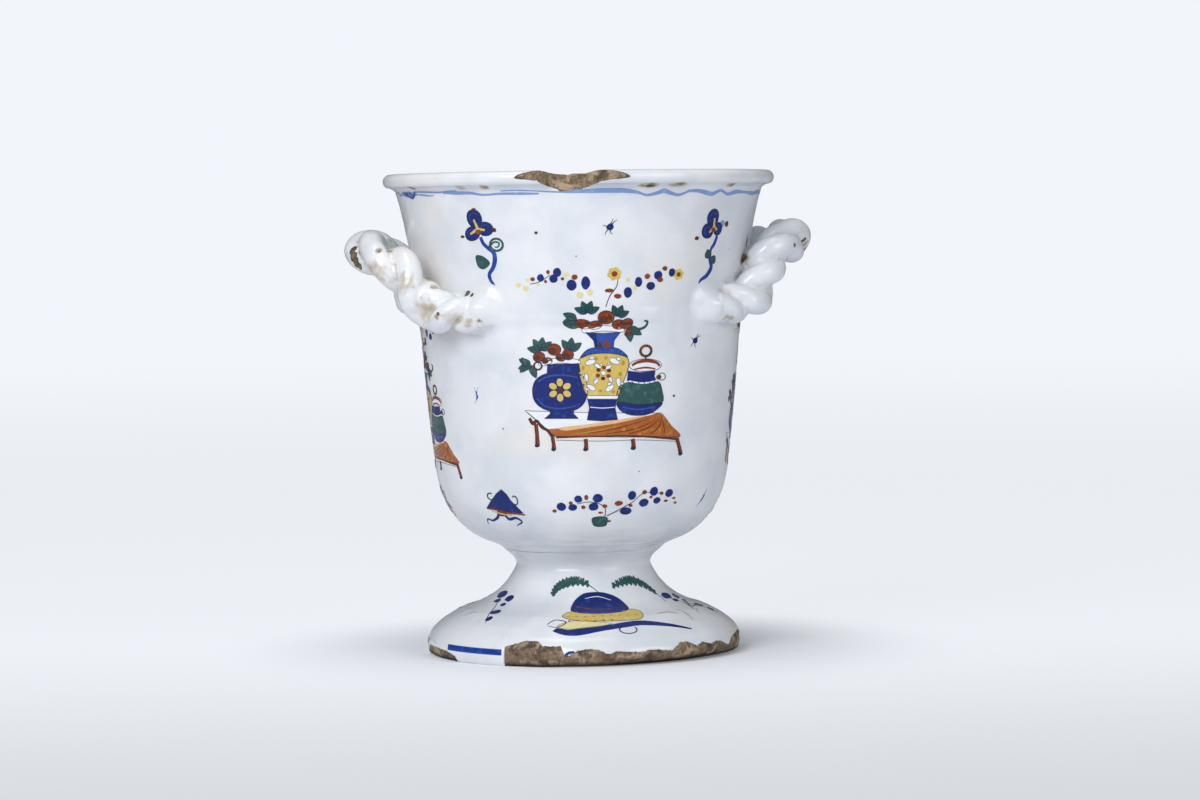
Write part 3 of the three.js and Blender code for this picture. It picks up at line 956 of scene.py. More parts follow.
def pinholeMarks(tree, place):
    # Some cells of a pattern hold a pinhole
    cells = addNode(
        tree, "ShaderNodeTexVoronoi", Vector=place, Scale=perMetre(glazeLook["pinholes"]), Randomness=1,
    ).outputs
    hole = shareBetween(tree, cells["Distance"], 0.065, 0.03)
    draw = addNode(tree, "ShaderNodeSeparateColor", i0=cells["Color"]).outputs[0]
    return reckon(tree, "MULTIPLY", hole, reckon(tree, "GREATER_THAN", draw, glazeLook["pinholeShare"]))


def glazeColour(tree, place, hole, stainedAndShaded):
    colour = linearColour(glazeLook["white"])
    colour = tinted(tree, colour, clouds(tree, place, glazeLook["mottle"], 4), 0.35, 0.7, "greyer")
    colour = tinted(tree, colour, clouds(tree, place, glazeLook["blush"], 2), 0.55, 0.8, "warmer")
    faint = reckon(tree, "MULTIPLY", hole, 0.35)
    colour = colourMix(tree, faint, colour, linearColour(glazeLook["stainAndShade"]))
    if stainedAndShaded:
        # Iron from the clay shows through as olive brown where the glaze is thin between the coils; painted
        # shade darkens the same lay
        patch = shareBetween(tree, clouds(tree, place, 9, 3, 0.6), 0.44, 0.66)
        amount = reckon(tree, "MULTIPLY", vertexMark(tree, "crevice"), patch)
        colour = colourMix(tree, amount, colour, linearColour(glazeLook["stainAndShade"]))
        colour = tinted(tree, colour, amount, 0.92, 1.1, "darkStainAndShade")
    # Stains under the lip and on the ropes, with painted shadow behind the rope loops and painted shade in
    # the hollows of the ropes
    cloud = shareBetween(tree, clouds(tree, place, 6, 4, 0.6), 0.3, 0.7, 0.55, 1.25, "LINEAR")
    stainAndShade = reckon(tree, "MULTIPLY", vertexMark(tree, "stainAndShade"), cloud)
    colour = tinted(tree, colour, stainAndShade, 0.1, 1, "stainAndShade")
    return tinted(tree, colour, stainAndShade, 0.85, 1.3, "darkStainAndShade")


def bareClay(tree, place, clay, grit):
    # Buff clay where the glaze broke off, darker along the break and in its flaws, and darkened by painted
    # shade down by the table
    colour = tinted(tree, linearColour(glazeLook["clayDark"]), grit, 0.35, 0.68, "clayLight")
    colour = tinted(tree, colour, clouds(tree, place, 6, 4), 0.46, 0.66, "darkStainAndShade")
    colour = tinted(tree, colour, clouds(tree, place, 8, 5, 0.65), 0.5, 0.62, "clayPale")
    colour = tinted(tree, colour, clay, 0.98, 0.6, "darkStainAndShade")
    height = addNode(tree, "ShaderNodeSeparateXYZ", i0=place).outputs["Z"]
    # Painted shade: the lowest few mm of the clay are darkened where it meets the table
    low, high = glazeLook["paintedTableShadeTo"] * mm, glazeLook["paintedTableShadeFrom"] * mm
    return tinted(tree, colour, height, high, low, "paintedTableShade")


def tinGlaze(name, stainedAndShaded):
    # Opaque white tin glaze, fired glossy: milky, with pinholes, faint mottling and bare clay where it broke
    material, tree = newMaterial(name)
    place = addNode(tree, "ShaderNodeTexCoord").outputs["Object"]
    clay = vertexMark(tree, "clay")
    hole = pinholeMarks(tree, place)
    grit = clouds(tree, place, 1.6, 6, 0.7)
    broken = shareBetween(tree, clay, 0.42, 0.58)
    colour = glazeColour(tree, place, hole, stainedAndShaded)
    colour = colourMix(tree, broken, colour, bareClay(tree, place, clay, grit))
    rough = shareBetween(tree, broken, 0, 1, glazeLook["roughness"], glazeLook["clayRoughness"], "LINEAR")
    peel = clouds(tree, place, glazeLook["peel"], 2)
    smooth = reckon(tree, "ADD", peel, reckon(tree, "MULTIPLY", hole, -1.2))
    sharp = reckon(tree, "MULTIPLY", grit, 3.2)
    relief = addNode(tree, "ShaderNodeMix", {"data_type": "FLOAT"}, i0=broken, i2=smooth, i3=sharp).outputs[0]
    bump = addNode(tree, "ShaderNodeBump", Strength=glazeLook["relief"], Distance=0.0003, Height=relief)
    shader = addNode(
        tree, "ShaderNodeBsdfPrincipled", Roughness=rough, IOR=glazeLook["ior"], Normal=bump.outputs[0],
    )
    tree.links.new(colour, shader.inputs["Base Color"])
    shader.inputs["Specular IOR Level"].default_value = glazeLook["specular"]
    addNode(tree, "ShaderNodeOutputMaterial", Surface=shader.outputs[0])
    return material


whiteGlaze = tinGlaze("glossy_white_tin_glaze", False)
ropeGlaze = tinGlaze("glossy_tin_glaze_stained_and_shaded_in_the_lay", True)

for piece, node in ((bowl, "bowl"), (foot, "foot"), (slip, "slip_joint")):
    finishPiece(piece, whiteGlaze)
    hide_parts(node)

coils = coilTree()
for side in ("right", "left"):
    middle = math.degrees(handleSides[side]["turn"])
    parts = []
    for letter, phase in (("a", 0), ("b", math.pi)):
        node = side + "_handle_strand_" + letter
        strand = rollCoil(side + "_coil_" + letter, side, phase, coils, ropeGlaze)
        finishPiece(strand, ropeGlaze)
        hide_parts(node)
        parts.append(strand)
    for end in ("front", "rear"):
        node = side + "_" + end + "_pad"
        away = padForm["away"] * (1 if (end == "rear") == (side == "right") else -1)
        pad = padLump(side + "_" + end + "_lump", side, middle + away)
        finishPiece(pad, ropeGlaze)
        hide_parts(node)
        parts.append(pad)
    flow = flowGlaze(side + "_handle_glaze", side, parts)
    finishPiece(flow, ropeGlaze)
    print(side, "handle made:", len(flow.data.polygons), "faces of glaze")

# Painting in high-fire colours, laid on the raw glaze before firing. Each shape is drawn on the surface in
# mm across and mm up from its motif's own middle, and becomes a skin of colour that follows the clay.
paintForm = {
    "lift": 0.05, "layerStep": 0.035, "shapeStep": 0.002, "bedded": 0.15, "grid": 1.7, "edgeStep": 1.6,
    "unevenness": 0.05, "dabThickness": 0.22, "dabUnevenness": 0.5, "dabSunk": 0.08,
}
paintShapes = {}
paintDabs = {}


def panelAt(turn, level, on="wall", scale=1.0):
    # Where a motif is painted: degrees from the front, and mm up the wall or mm along the foot
    place = onWall if on == "wall" else onFoot
    middle = math.radians(turn)
    radius = math.hypot(*place(middle, level)[:2])
    return {"turn": middle, "level": level, "place": place, "radius": radius, "scale": scale}


def onPanel(panel, x, y, lift):
    turn = panel["turn"] + x * panel["scale"] / panel["radius"]
    return panel["place"](turn, panel["level"] + y * panel["scale"], lift)


def smoothLine(points, closed=False, steps=5):
    # Curve through the points
    if len(points) < 3:
        return list(points)
    before, after = (points[-1:], points[:2]) if closed else (points[:1], points[-1:])
    padded = [*before, *points, *after]
    line = []
    for a, b, c, d in zip(padded, padded[1:], padded[2:], padded[3:]):
        for step in range(steps):
            line.append(tuple(throughPoint(p, q, r, s, step / steps) for p, q, r, s in zip(a, b, c, d)))
    return line if closed else line + [points[-1]]


def paint(panel, enamel, outline, layer=0):
    paintShapes.setdefault(enamel, []).append((panel, outline, layer))


def patch(panel, enamel, points, layer=0, smooth=True, ink=0):
    outline = smoothLine(points, closed=True) if smooth else list(points)
    paint(panel, enamel, outline, layer)
    if ink:
        stroke(panel, "ink", outline + outline[:1], (ink,), layer + 1, smooth=False)


def blob(panel, enamel, x, y, wide, high, layer=0, lean=0, ink=0):
    # Round dab of the brush, wide and high being half its size
    cosine, sine = math.cos(math.radians(lean)), math.sin(math.radians(lean))
    points = []
    for i in range(16):
        angle = math.tau * i / 16
        place = Vector((x + math.cos(angle), y + math.sin(angle), 1))
        uneven = 1 + paintForm["unevenness"] * noise.noise(place)
        px, py = wide * math.cos(angle) * uneven, high * math.sin(angle) * uneven
        points.append((x + px * cosine - py * sine, y + px * sine + py * cosine))
    patch(panel, enamel, points, layer, smooth=False, ink=ink)


def dabs(panel, enamel, spots, layer=0):
    for x, y, wide, high in spots:
        paintDabs.setdefault(enamel, []).append((panel, x, y, wide, high, layer))


def leaf(panel, enamel, x, y, length, width, heading, layer=0, ink=0):
    # Pointed leaf from its stalk at (x, y); heading in degrees, counted from straight up
    angle = math.radians(90 - heading)
    along, across = (math.cos(angle), math.sin(angle)), (-math.sin(angle), math.cos(angle))
    points = []
    for side in (1, -1):
        for t in ((0.02, 0.2, 0.42, 0.65, 0.85) if side > 0 else (1, 0.85, 0.65, 0.42, 0.2)):
            half = side * width / 2 * math.sin(math.pi * t ** 0.8) ** 0.75 if t < 1 else 0
            far = t * length
            points.append((x + along[0] * far + across[0] * half, y + along[1] * far + across[1] * half))
    patch(panel, enamel, points, layer, ink=ink)
    if ink:
        tip = (x + along[0] * length * 0.75, y + along[1] * length * 0.75)
        stroke(panel, "ink", [(x, y), tip], (ink * 0.8, ink * 0.4), layer + 1)


def stroke(panel, enamel, points, widths, layer=0, smooth=True):
    # Brush stroke through the points; widths from its start to its end
    line = smoothLine(points) if smooth else list(points)
    lengths = [0.0]
    for a, b in zip(line, line[1:]):
        lengths.append(lengths[-1] + math.dist(a, b))
    if lengths[-1] == 0:
        return
    widthPairs = [(i / max(len(widths) - 1, 1), w) for i, w in enumerate(widths)]
    left, right = [], []
    for i, (x, y) in enumerate(line):
        a, b = line[max(i - 1, 0)], line[min(i + 1, len(line) - 1)]
        size = math.dist(a, b) or 1
        half = valueAt(widthPairs, lengths[i] / lengths[-1]) / 2
        if 0 < i < len(line) - 1 and lengths[i] - lengths[i - 1] < half * 0.3:
            continue
        nx, ny = -(b[1] - a[1]) / size * half, (b[0] - a[0]) / size * half
        left.append((x + nx, y + ny))
        right.append((x - nx, y - ny))
    if len(left) < 2:
        return
    closed = math.dist(line[0], line[-1]) < 0.05
    if closed:
        # A ring: drawn as short pieces end to end, because its outline would cross itself
        for i in range(len(left) - 1):
            paint(panel, enamel, [left[i], left[i + 1], right[i + 1], right[i]], layer)
    else:
        paint(panel, enamel, left + right[::-1], layer)


def ring(panel, enamel, x, y, wide, high, width, layer=0, start=0, sweep=360):
    points = []
    count = max(int(sweep / 20), 6)
    for i in range(count + 1):
        angle = math.radians(start + sweep * i / count)
        points.append((x + wide * math.cos(angle), y + high * math.sin(angle)))
    stroke(panel, enamel, points, (width,), layer, smooth=False)


def leafFan(panel, place, size, headings):
    # Rounded leaves that spring from one point and overlap
    for turn in headings:
        leaf(panel, "green", place[0], place[1], size, size * 0.54, turn, 1, ink=0.2)


def flowerSprays(panel):
    # Two arching sprays of berries with a flower between them
    dabs(panel, "cobalt", [
        (-28.2, 79.1, 1.8, 1.9), (-20.6, 81.7, 2, 2.3), (-22.4, 78.6, 2.1, 2.1),
        (-14.3, 75.4, 2.5, 2.7), (-8, 76.4, 2.2, 3.4), (11.3, 71.3, 2.1, 2.7),
        (16.2, 76.4, 1.9, 2.5), (22.2, 74.3, 2.3, 2), (25.7, 79.5, 2.3, 2.2),
        (32.7, 80.8, 1.8, 2.1),
    ], 1)
    dabs(panel, "rust", [
        (-31.9, 78.5, 1.2, 1), (-26, 77.3, 0.8, 0.8), (-24.7, 81.9, 0.9, 1), (-18.3, 78.5, 0.9, 0.9),
        (-12.9, 79.3, 1.5, 1.3), (20.4, 79.1, 1.5, 1.3), (26.8, 77.3, 1.7, 1.2),
        (29, 82.8, 1.4, 1.1),
    ], 2)
    dabs(panel, "paleYellow", [
        (-38.6, 75.6, 1.4, 1.2), (-35.2, 74, 1.5, 1.4), (-34.2, 77.9, 0.9, 1.1), (-29.5, 75.6, 1, 0.7),
        (-16.5, 80.4, 1.5, 1.3), (-10.7, 70.5, 1.8, 1.5), (-6.1, 71.6, 1.6, 1.7), (11.2, 77.5, 1.1, 1.2),
        (14.5, 73.6, 1.1, 1.3),
    ])
    stroke(panel, "ink", [(-33.1, 76.1), (-28.9, 77.1), (-23.8, 80.5)], (0.35, 0.45, 0.3))
    for (x, y), size in (((4.9, 80.6), 3.3), ((36.4, 79.7), 2.8)):
        for petal in range(6):
            angle = math.radians(60 * petal + 14)
            blob(
                panel, "yellow", x + size * 0.6 * math.cos(angle), y + size * 0.6 * math.sin(angle),
                size * 0.42, size * 0.42,
            )
        blob(panel, "yellow", x, y, size * 0.6, size * 0.6, 1)
        blob(panel, "rust", x, y, size * 0.42, size * 0.42, 2)
    stroke(panel, "ink", [(6.6, 78.2), (6, 74.4), (3, 69.9), (1, 64.4)], (0.3, 0.5, 0.45, 0.4))
    dabs(panel, "rust", [(2.7, 72.4, 2.3, 1), (6.5, 69.6, 1.9, 1.2)], 2)


def centreVase(panel):
    # Tall baluster vase, yellow with white scrolls, between a blue trumpet neck and a blue foot
    leafFan(panel, (-7.5, 61.6), 6.2, (-66, -22, 20, 64))
    leafFan(panel, (-12.1, 58.7), 6.8, (-66, -104))
    leafFan(panel, (-10.8, 55.7), 7.6, (-86,))
    leafFan(panel, (6.3, 59.6), 6, (-20, 24, 66))
    leafFan(panel, (11.9, 54.3), 7.4, (172, 122))
    stroke(
        panel, "green", [(13.6, 53.3), (17.5, 53.2), (20.3, 54.6), (20.9, 56.8), (19.2, 57.3)],
        (1.2, 1.3, 1.2, 0.8), 1,
    )
    for (x, y), wide, high, lean in (
        ((-3.9, 55.6), 3.4, 2.1, 8), ((-9.4, 56.2), 4, 2.3, -14), ((10.9, 56), 3, 2.5, 30),
        ((7.1, 55.7), 3.2, 2.4, 0), ((11.7, 51.4), 1.9, 1.4, 40), ((1.1, 59.3), 3.8, 3.3, 0),
    ):
        blob(panel, "rust", x, y, wide, high, 2, lean=lean, ink=0.3)
        blob(panel, "brown", x - wide * 0.3, y - high * 0.25, wide * 0.52, high * 0.5, 3, lean=lean)
        blob(panel, "brown", x + wide * 0.45, y + high * 0.1, wide * 0.26, high * 0.5, 3, lean=lean + 20)
    patch(
        panel, "reliefWhite", [(-9, 54.5), (-0.2, 55.3), (8.7, 53.9), (9, 51.9), (-0.2, 52.6), (-9, 51.8)],
        2, ink=0.24,
    )
    patch(panel, "cobaltLight", [
        (-8.2, 52), (-0.2, 51.4), (8.2, 51.9), (5.1, 47.9), (4.6, 43.9), (0.3, 43.5), (-3.9, 44), (-4.6, 48),
    ], 2, smooth=False, ink=0.3)
    patch(
        panel, "cobalt", [(-7.6, 51.7), (-3.4, 51.2), (-3, 47.7), (-2.8, 44.8), (-3.7, 44.8), (-4.4, 48)],
        4, smooth=False,
    )
    patch(panel, "brown", [(-3.2, 45), (-1.7, 47.7), (-0.4, 44.8)], 4, smooth=False)
    patch(panel, "rust", [(-0.3, 44.7), (1.5, 48.9), (3.4, 44.6)], 4, smooth=False)
    patch(panel, "cobaltLight", [
        (-3.9, 44.5), (4.5, 44.4), (8.6, 42.8), (11.6, 39.5), (7, 40.9), (0.3, 41.7), (-6.3, 41.1),
        (-10.8, 39.5), (-8.1, 43.1),
    ], 2, ink=0.3)
    patch(panel, "yellow", [
        (-10.9, 39.5), (-6.3, 41.1), (0.3, 41.7), (7, 40.9), (11.6, 39), (12.1, 34.6), (10, 28.2), (7, 20.7),
        (-0.2, 20.3), (-7.7, 21), (-10.7, 28.6), (-12.2, 35.1),
    ], 1, ink=0.34)
    for (x, y), size, lean in (
        ((-6.1, 37.4), 2.6, 20), ((5.3, 37.7), 2.6, -24), ((-8.3, 29.6), 2.2, 90), ((-5.9, 24.8), 2.4, 150),
        ((3, 24.4), 2.4, 40), ((7.3, 27.3), 2.2, -80), ((-2.6, 35.4), 1.8, -30), ((2.4, 34.8), 1.8, 30),
        ((-3.5, 28), 1.7, 60), ((3.4, 28.8), 1.7, -60),
    ):
        blob(panel, "reliefWhite", x, y, size, size * 0.52, 2, lean=lean, ink=0.2)
        turned = math.radians(lean)
        x, y = x + size * 0.8 * math.cos(turned + 0.9), y + size * 0.8 * math.sin(turned + 0.9)
        blob(panel, "reliefWhite", x, y, size * 0.42, size * 0.36, 2, ink=0.18)
    for spot in range(6):
        angle = math.radians(60 * spot + 25)
        x, y = 2.9 * math.cos(angle), 31.9 + 2.7 * math.sin(angle)
        blob(panel, "rust" if spot % 2 else "brown", x, y, 1.05, 0.95, 4)
    blob(panel, "reliefWhite", 0, 31.9, 1.2, 1.1, 3, ink=0.2)
    dabs(panel, "ochre", [
        (-3.5, 38.9, 1, 0.8), (1.2, 39.3, 0.9, 0.8), (9.4, 36.6, 0.9, 1.3), (-9.7, 34.5, 0.7, 1.2),
        (-1.6, 23, 1.2, 0.7), (4.7, 22.4, 1, 0.7), (8, 31.2, 0.9, 1.1),
    ], 3)
    patch(
        panel, "reliefWhite", [(-7.9, 20.9), (7.1, 20.6), (6.7, 18.9), (-7.4, 19.2)], 4, smooth=False,
        ink=0.2,
    )
    patch(panel, "cobalt", [
        (-7.7, 19.4), (6.5, 19.2), (5.7, 14.4), (7, 8.7), (-0.7, 8.2), (-8, 8.8), (-6.8, 14.7),
    ], 2, smooth=False, ink=0.3)
    stroke(panel, "reliefWhite", [(-6.5, 15.2), (-0.7, 14.6), (5.5, 14.9)], (0.35, 0.4, 0.35), 4)


def leftVase(panel):
    # Squat blue vase with a yellow flower on it
    leafFan(panel, (-29.3, 43.1), 6.8, (-78, -32, 8, 48))
    leafFan(panel, (-15.6, 43), 6.6, (-34, 8, 54))
    leafFan(panel, (-34.5, 36), 6.6, (-104, -62, 160))
    leafFan(panel, (-36.5, 35.7), 4.8, (-130, -30))
    for (x, y), wide, high, lean in (
        ((-26.6, 38.2), 2.6, 1.7, 0), ((-30.4, 40.2), 2.9, 2.5, 20), ((-16.6, 41.3), 2.7, 2.7, 0),
        ((-20.1, 39.8), 2.4, 1.8, -20), ((-23, 43.8), 3.2, 2.9, 0),
    ):
        blob(panel, "rust", x, y, wide, high, 2, lean=lean, ink=0.3)
        blob(panel, "brown", x - wide * 0.3, y - high * 0.2, wide * 0.58, high * 0.56, 3, lean=lean)
    ring(panel, "brown", -31.1, 35.8, 1.9, 1.9, 0.9, 2)
    patch(
        panel, "reliefWhite",
        [(-30, 38.2), (-22.3, 39.4), (-12.2, 38.8), (-11.7, 36.5), (-20.5, 37.1), (-29.6, 35.7)], 2,
        ink=0.24,
    )
    patch(
        panel, "cobalt", [(-26.4, 36.4), (-11.5, 36.8), (-10.9, 32.6), (-18.7, 31.2), (-26.8, 32)], 2,
        smooth=False, ink=0.28,
    )
    patch(panel, "cobalt", [
        (-27.8, 31.7), (-19.1, 32.9), (-11.6, 31.8), (-8.3, 28.1), (-7.7, 22.6), (-9.4, 17.2),
        (-13.8, 13.8), (-21.1, 13.1), (-28.4, 14.2), (-33.1, 17.9), (-34.3, 23.3), (-32.6, 28.5),
    ], 1, ink=0.34)
    stroke(
        panel, "cobaltLight", [(-31.4, 27.8), (-26.9, 30.4), (-19.2, 31.2), (-12.1, 29.9)],
        (0.7, 1, 0.9, 0.6), 3,
    )
    stroke(
        panel, "cobaltLight", [(-32.2, 19.9), (-28.4, 15.9), (-21, 14.6), (-13.3, 15.8)],
        (0.6, 0.8, 0.8, 0.5), 3,
    )
    x, y = (-20.8, 23.8)
    for lean in range(30, 390, 60):
        angle = math.radians(lean)
        petal = (x + 3.85 * math.cos(angle), y + 3.75 * math.sin(angle))
        blob(panel, "yellow", *petal, 1.95, 1.5, 3, lean=lean)
    blob(panel, "brown", x, y, 1.5, 1.3, 4)
    patch(panel, "cobalt", [
        (-26.3, 13.9), (-14.2, 13.8), (-14.5, 12.1), (-12.1, 9.6), (-28.9, 9.7), (-25.8, 12.2),
    ], 2, smooth=False, ink=0.26)


def rightPot(panel):
    # Lidded pot, green above and blue below
    ring(panel, "brown", 20.7, 42.3, 2.8, 2.6, 1.3, 2)
    ring(panel, "rust", 20.7, 42.3, 2.6, 2.4, 0.5, 4, sweep=200)
    stroke(panel, "ink", [(20.7, 39.3), (20.8, 37.3)], (0.7,), 1)
    patch(panel, "reliefWhite", [
        (12.4, 35.1), (14.9, 37.5), (21, 38.4), (27.4, 37.1), (29.3, 35), (25.9, 32.7), (16.5, 32.5),
    ], 1, ink=0.28)
    stroke(
        panel, "rust", [(13.7, 35.3), (16.9, 36.9), (21.5, 37.4), (26.3, 36.4), (28.3, 34.6)],
        (1.1, 1.6, 1.6, 1.2), 3,
    )
    stroke(panel, "rust", [(14.9, 33.3), (20.5, 34.1), (25.9, 33.3)], (0.6, 1, 0.6), 3)
    patch(panel, "cobalt", [
        (12, 32.6), (18, 31.7), (25.9, 32.2), (25.4, 29.7), (26.9, 27.2), (19.2, 26.2), (11.5, 27.9),
    ], 2, smooth=False, ink=0.26)
    stroke(panel, "reliefWhite", [(12.5, 27.6), (19.7, 26.4), (26.9, 27.4)], (0.7,), 4)
    for step in range(5):
        x, y = (14.3 + step * 2.9, 26.8)
        stroke(panel, "ink", [(x - 0.5, y + 0.8), (x + 0.4, y - 0.7)], (0.35,), 5)
    ring(panel, "ink", 29.6, 29.3, 2, 1.8, 0.35, 2)
    blob(panel, "brown", 27.9, 29.1, 1.4, 1.2, 3)
    patch(panel, "green", [
        (8.6, 25.8), (14, 27.1), (21.3, 25.9), (27.7, 26.9), (30, 22.6), (30.1, 16.2), (18.4, 15.8),
        (6.9, 17.4), (6.6, 21.8),
    ], 1, ink=0.3)
    patch(panel, "cobalt", [
        (6.9, 17.4), (18.4, 15.8), (30.1, 16.4), (27.1, 12.8), (21.7, 10.7), (14.3, 10.7), (8.7, 12.9),
    ], 2, ink=0.3)
    stroke(panel, "cobaltLight", [(9.2, 14.9), (17.4, 13.4), (26.5, 14.5)], (0.6, 0.8, 0.5), 4)


def paintedTable(panel):
    # Low table drawn in slanting view, its top washed from white to orange
    patch(
        panel, "reliefWhite", [(-38.6, 13.6), (30.3, 11.2), (42.1, -1.1), (-24, 1)], 0, smooth=False,
        ink=0.26,
    )
    patch(panel, "orange", [
        (-27.8, 4.2), (-18.3, 4.9), (-5.6, 6), (9.3, 7.9), (22.8, 10.2), (30, 10.9), (36.3, 4.9),
        (42.1, -1.3), (18.8, 0.3), (1.3, 0.9), (-14, 0.4), (-24, 0.8),
    ], 1)
    patch(
        panel, "paleOrange",
        [(-21.3, 5.2), (-6.6, 6.8), (10.8, 9.1), (21.7, 10.1), (8.3, 7.2), (-7.6, 5.1), (-18.4, 3.7)], 2,
    )
    for points, enamel, width in (
        ([(-7.6, 2.3), (7.3, 4.5), (24, 8.9)], "rust", 0.7),
        ([(0.3, 1.7), (15.5, 3.7), (26.8, 7.8)], "brown", 0.5),
        ([(12.5, 1.4), (23, 4), (29, 8.2)], "rust", 0.9),
        ([(24.2, 1), (28.6, 3.8), (30.2, 7.7)], "brown", 0.7),
        ([(-16, 1.7), (-2.7, 3.5), (9.3, 5.9)], "ochre", 0.6),
        ([(32.3, 0.6), (32.1, 4.1), (30.1, 9.2)], "rust", 0.8),
    ):
        stroke(panel, enamel, points, (width * 0.4, width, width * 0.3), 3)
    stroke(panel, "brown", [(-23.4, 0.3), (-6.6, 0.6), (15.1, 0.3), (41.8, -2.3)], (0.9, 0.6, 0.8, 1.3), 3)
    stroke(panel, "ink", [(-37.6, 12.9), (-30.7, 7), (-23.9, 0.3)], (0.35, 0.3, 0.35), 3)
    stroke(panel, "ink", [(-23.5, -1), (-1.7, -1.8), (18.9, -1.8), (42.6, -3.6)], (0.2,), 2)
    stroke(panel, "brown", [
        (-36.5, 9.9), (-34.8, 7.2), (-32.7, 8.5), (-30.5, 5.5), (-27.3, 3.5), (-24.5, -1),
    ], (1.6, 1.8, 1.3, 1.5, 1.4, 1.2), 2)
    for (x, y), (endX, endY), width in (
        ((-33.3, 7), (-33, -4), 2.4), ((-25.2, 0), (-24.7, -5.9), 2.3), ((-8.8, -0.6), (-8.7, -6.1), 2.4),
        ((14.9, -1.2), (15.5, -6), 2.6), ((40.5, -2.2), (43.4, -9.9), 2.7),
    ):
        knee = ((x + endX) / 2 + 0.2, (y + endY) / 2)
        stroke(panel, "brown", [(x, y), knee, (endX, endY)], (width * 0.8, width * 0.8, width), 3)
        stroke(panel, "rust", [(x + 0.4, y - 0.4), (endX + 0.5, endY + 0.8)], (width * 0.3, width * 0.35), 4)
        blob(panel, "ink", endX - width * 0.1, endY + 0.2, width * 0.5, width * 0.34, 4)


def vasesOnTable(panel):
    flowerSprays(panel)
    paintedTable(panel)
    leftVase(panel)
    rightPot(panel)
    centreVase(panel)


def stalkFlowerLeft(panel):
    # Trefoil flower on a winding blue stalk, with a curled tendril
    for (x, y), wide, high, lean in (
        ((-2.8, 22.1), 4.3, 4.4, 10), ((2.7, 16.9), 4.4, 3.4, 0), ((-5, 14.7), 4.7, 3.4, 20),
    ):
        blob(panel, "cobalt", x, y, wide, high, 1, lean=lean, ink=0.4)
        ring(panel, "cobaltLight", x, y, wide * 0.62, high * 0.62, 0.3, 2, start=40, sweep=200)
    for points in ([(-1.4, 16.9), (-3.2, 21.6)], [(-1.4, 16.9), (-6.2, 14.5)], [(-1.4, 16.9), (2.6, 16.4)]):
        stroke(panel, "yellow", points, (1.5, 1), 3)
    blob(panel, "rust", -1.3, 15.6, 1.7, 1.2, 4)
    dabs(panel, "brown", [(-2.4, 26.4, 1.3, 0.9), (7.7, 16.3, 1.1, 1.1), (-11.5, 13.2, 1.3, 0.8)], 2)
    stroke(panel, "cobaltMid", [
        (-0.5, 13), (0.6, 10), (3.1, 7.5), (6, 5.4), (6.5, 1.9), (5.1, -2.1), (2.6, -5.3), (3, -8.3),
        (4.9, -11.5), (2.6, -13.7), (0.7, -14.2),
    ], (2, 1.9, 1.8, 2.2, 2.6, 2.3, 1.9, 2, 1.6, 0.8, 0.4), 1)
    ring(panel, "green", 8.1, 9.1, 3.5, 3, 1.1, 2)
    stroke(panel, "green", [(3.8, 8), (6.9, 10.4), (9.6, 9.9), (8.8, 8), (7.1, 8)], (1.1, 0.9, 0.8, 0.5), 2)
    patch(panel, "green", [(-4.5, 3.6), (-0.3, 3.4), (3.4, 0.1), (-0.4, -2.8), (-3.9, -1.3)], 2, ink=0.2)


def stalkFlowerRight(panel):
    # The same flower on the other side, its stalk wound the other way and with a pair of leaves
    for (x, y), wide, high, lean in (
        ((-1.5, 20.8), 4.2, 4.4, 0), ((-4.2, 14.4), 4.1, 3.7, -18), ((3.3, 15.3), 3.3, 3.2, 0),
    ):
        blob(panel, "cobalt", x, y, wide, high, 1, lean=lean, ink=0.4)
        ring(panel, "cobaltLight", x, y, wide * 0.6, high * 0.6, 0.3, 2, start=40, sweep=200)
    blob(panel, "wash", 6.3, 17.9, 2, 1.8, 0)
    for points in ([(-0.1, 16.3), (-0.3, 20.7)], [(-0.1, 16.3), (-2.9, 13.6)], [(-0.1, 16.3), (2.5, 15)]):
        stroke(panel, "yellow", points, (1.5, 1), 3)
    blob(panel, "rust", -0.2, 15, 1.6, 1.3, 4)
    dabs(panel, "brown", [(10.2, 17.7, 1.5, 1.4), (-11.1, 10.8, 1.4, 1)], 2)
    stroke(panel, "cobaltMid", [
        (3.6, 11.9), (2.1, 8.1), (-0.2, 4.9), (0, 0.3), (1.6, -3.6), (-1.3, -7.6), (-5.8, -10.1),
        (-7.1, -13.6),
    ], (2, 2, 1.7, 2.2, 2.6, 2.4, 1.6, 0.7), 1)
    leaf(panel, "green", -1.1, 0.9, 4.6, 4.7, -22, 2, ink=0.2)
    leaf(panel, "green", 1.3, -1.6, 4.4, 4.5, 36, 2, ink=0.2)


def insect(panel, size=1.0, lean=0):
    # Small fly, drawn in blue with a few hair strokes
    cosine, sine = math.cos(math.radians(lean)), math.sin(math.radians(lean))

    def leaning(points):
        return [(size * (x * cosine - y * sine), size * (x * sine + y * cosine)) for x, y in points]

    body = [(-1.6, -0.6), (-1.2, 0.9), (0.4, 1.7), (1.6, 0.7), (1.4, -0.7), (0.1, -1.4)]
    patch(panel, "cobalt", leaning(body), 1, ink=0.15)
    for hair in (
        [(0.2, 1.4), (0.9, 2.6), (1.3, 3.9)], [(0.9, 1.3), (2.2, 2.6), (3.4, 3.3)],
        [(-1.4, 0.4), (-2.6, 0.7), (-3.6, 1.1)], [(-0.8, -1.1), (-1.9, -2.3), (-2.3, -3.7)],
        [(0.2, -1.3), (0.4, -2.6), (1.5, -3.3)],
    ):
        stroke(panel, "ink", leaning(hair), (0.5 * size, 0.35 * size, 0.2 * size), 1)


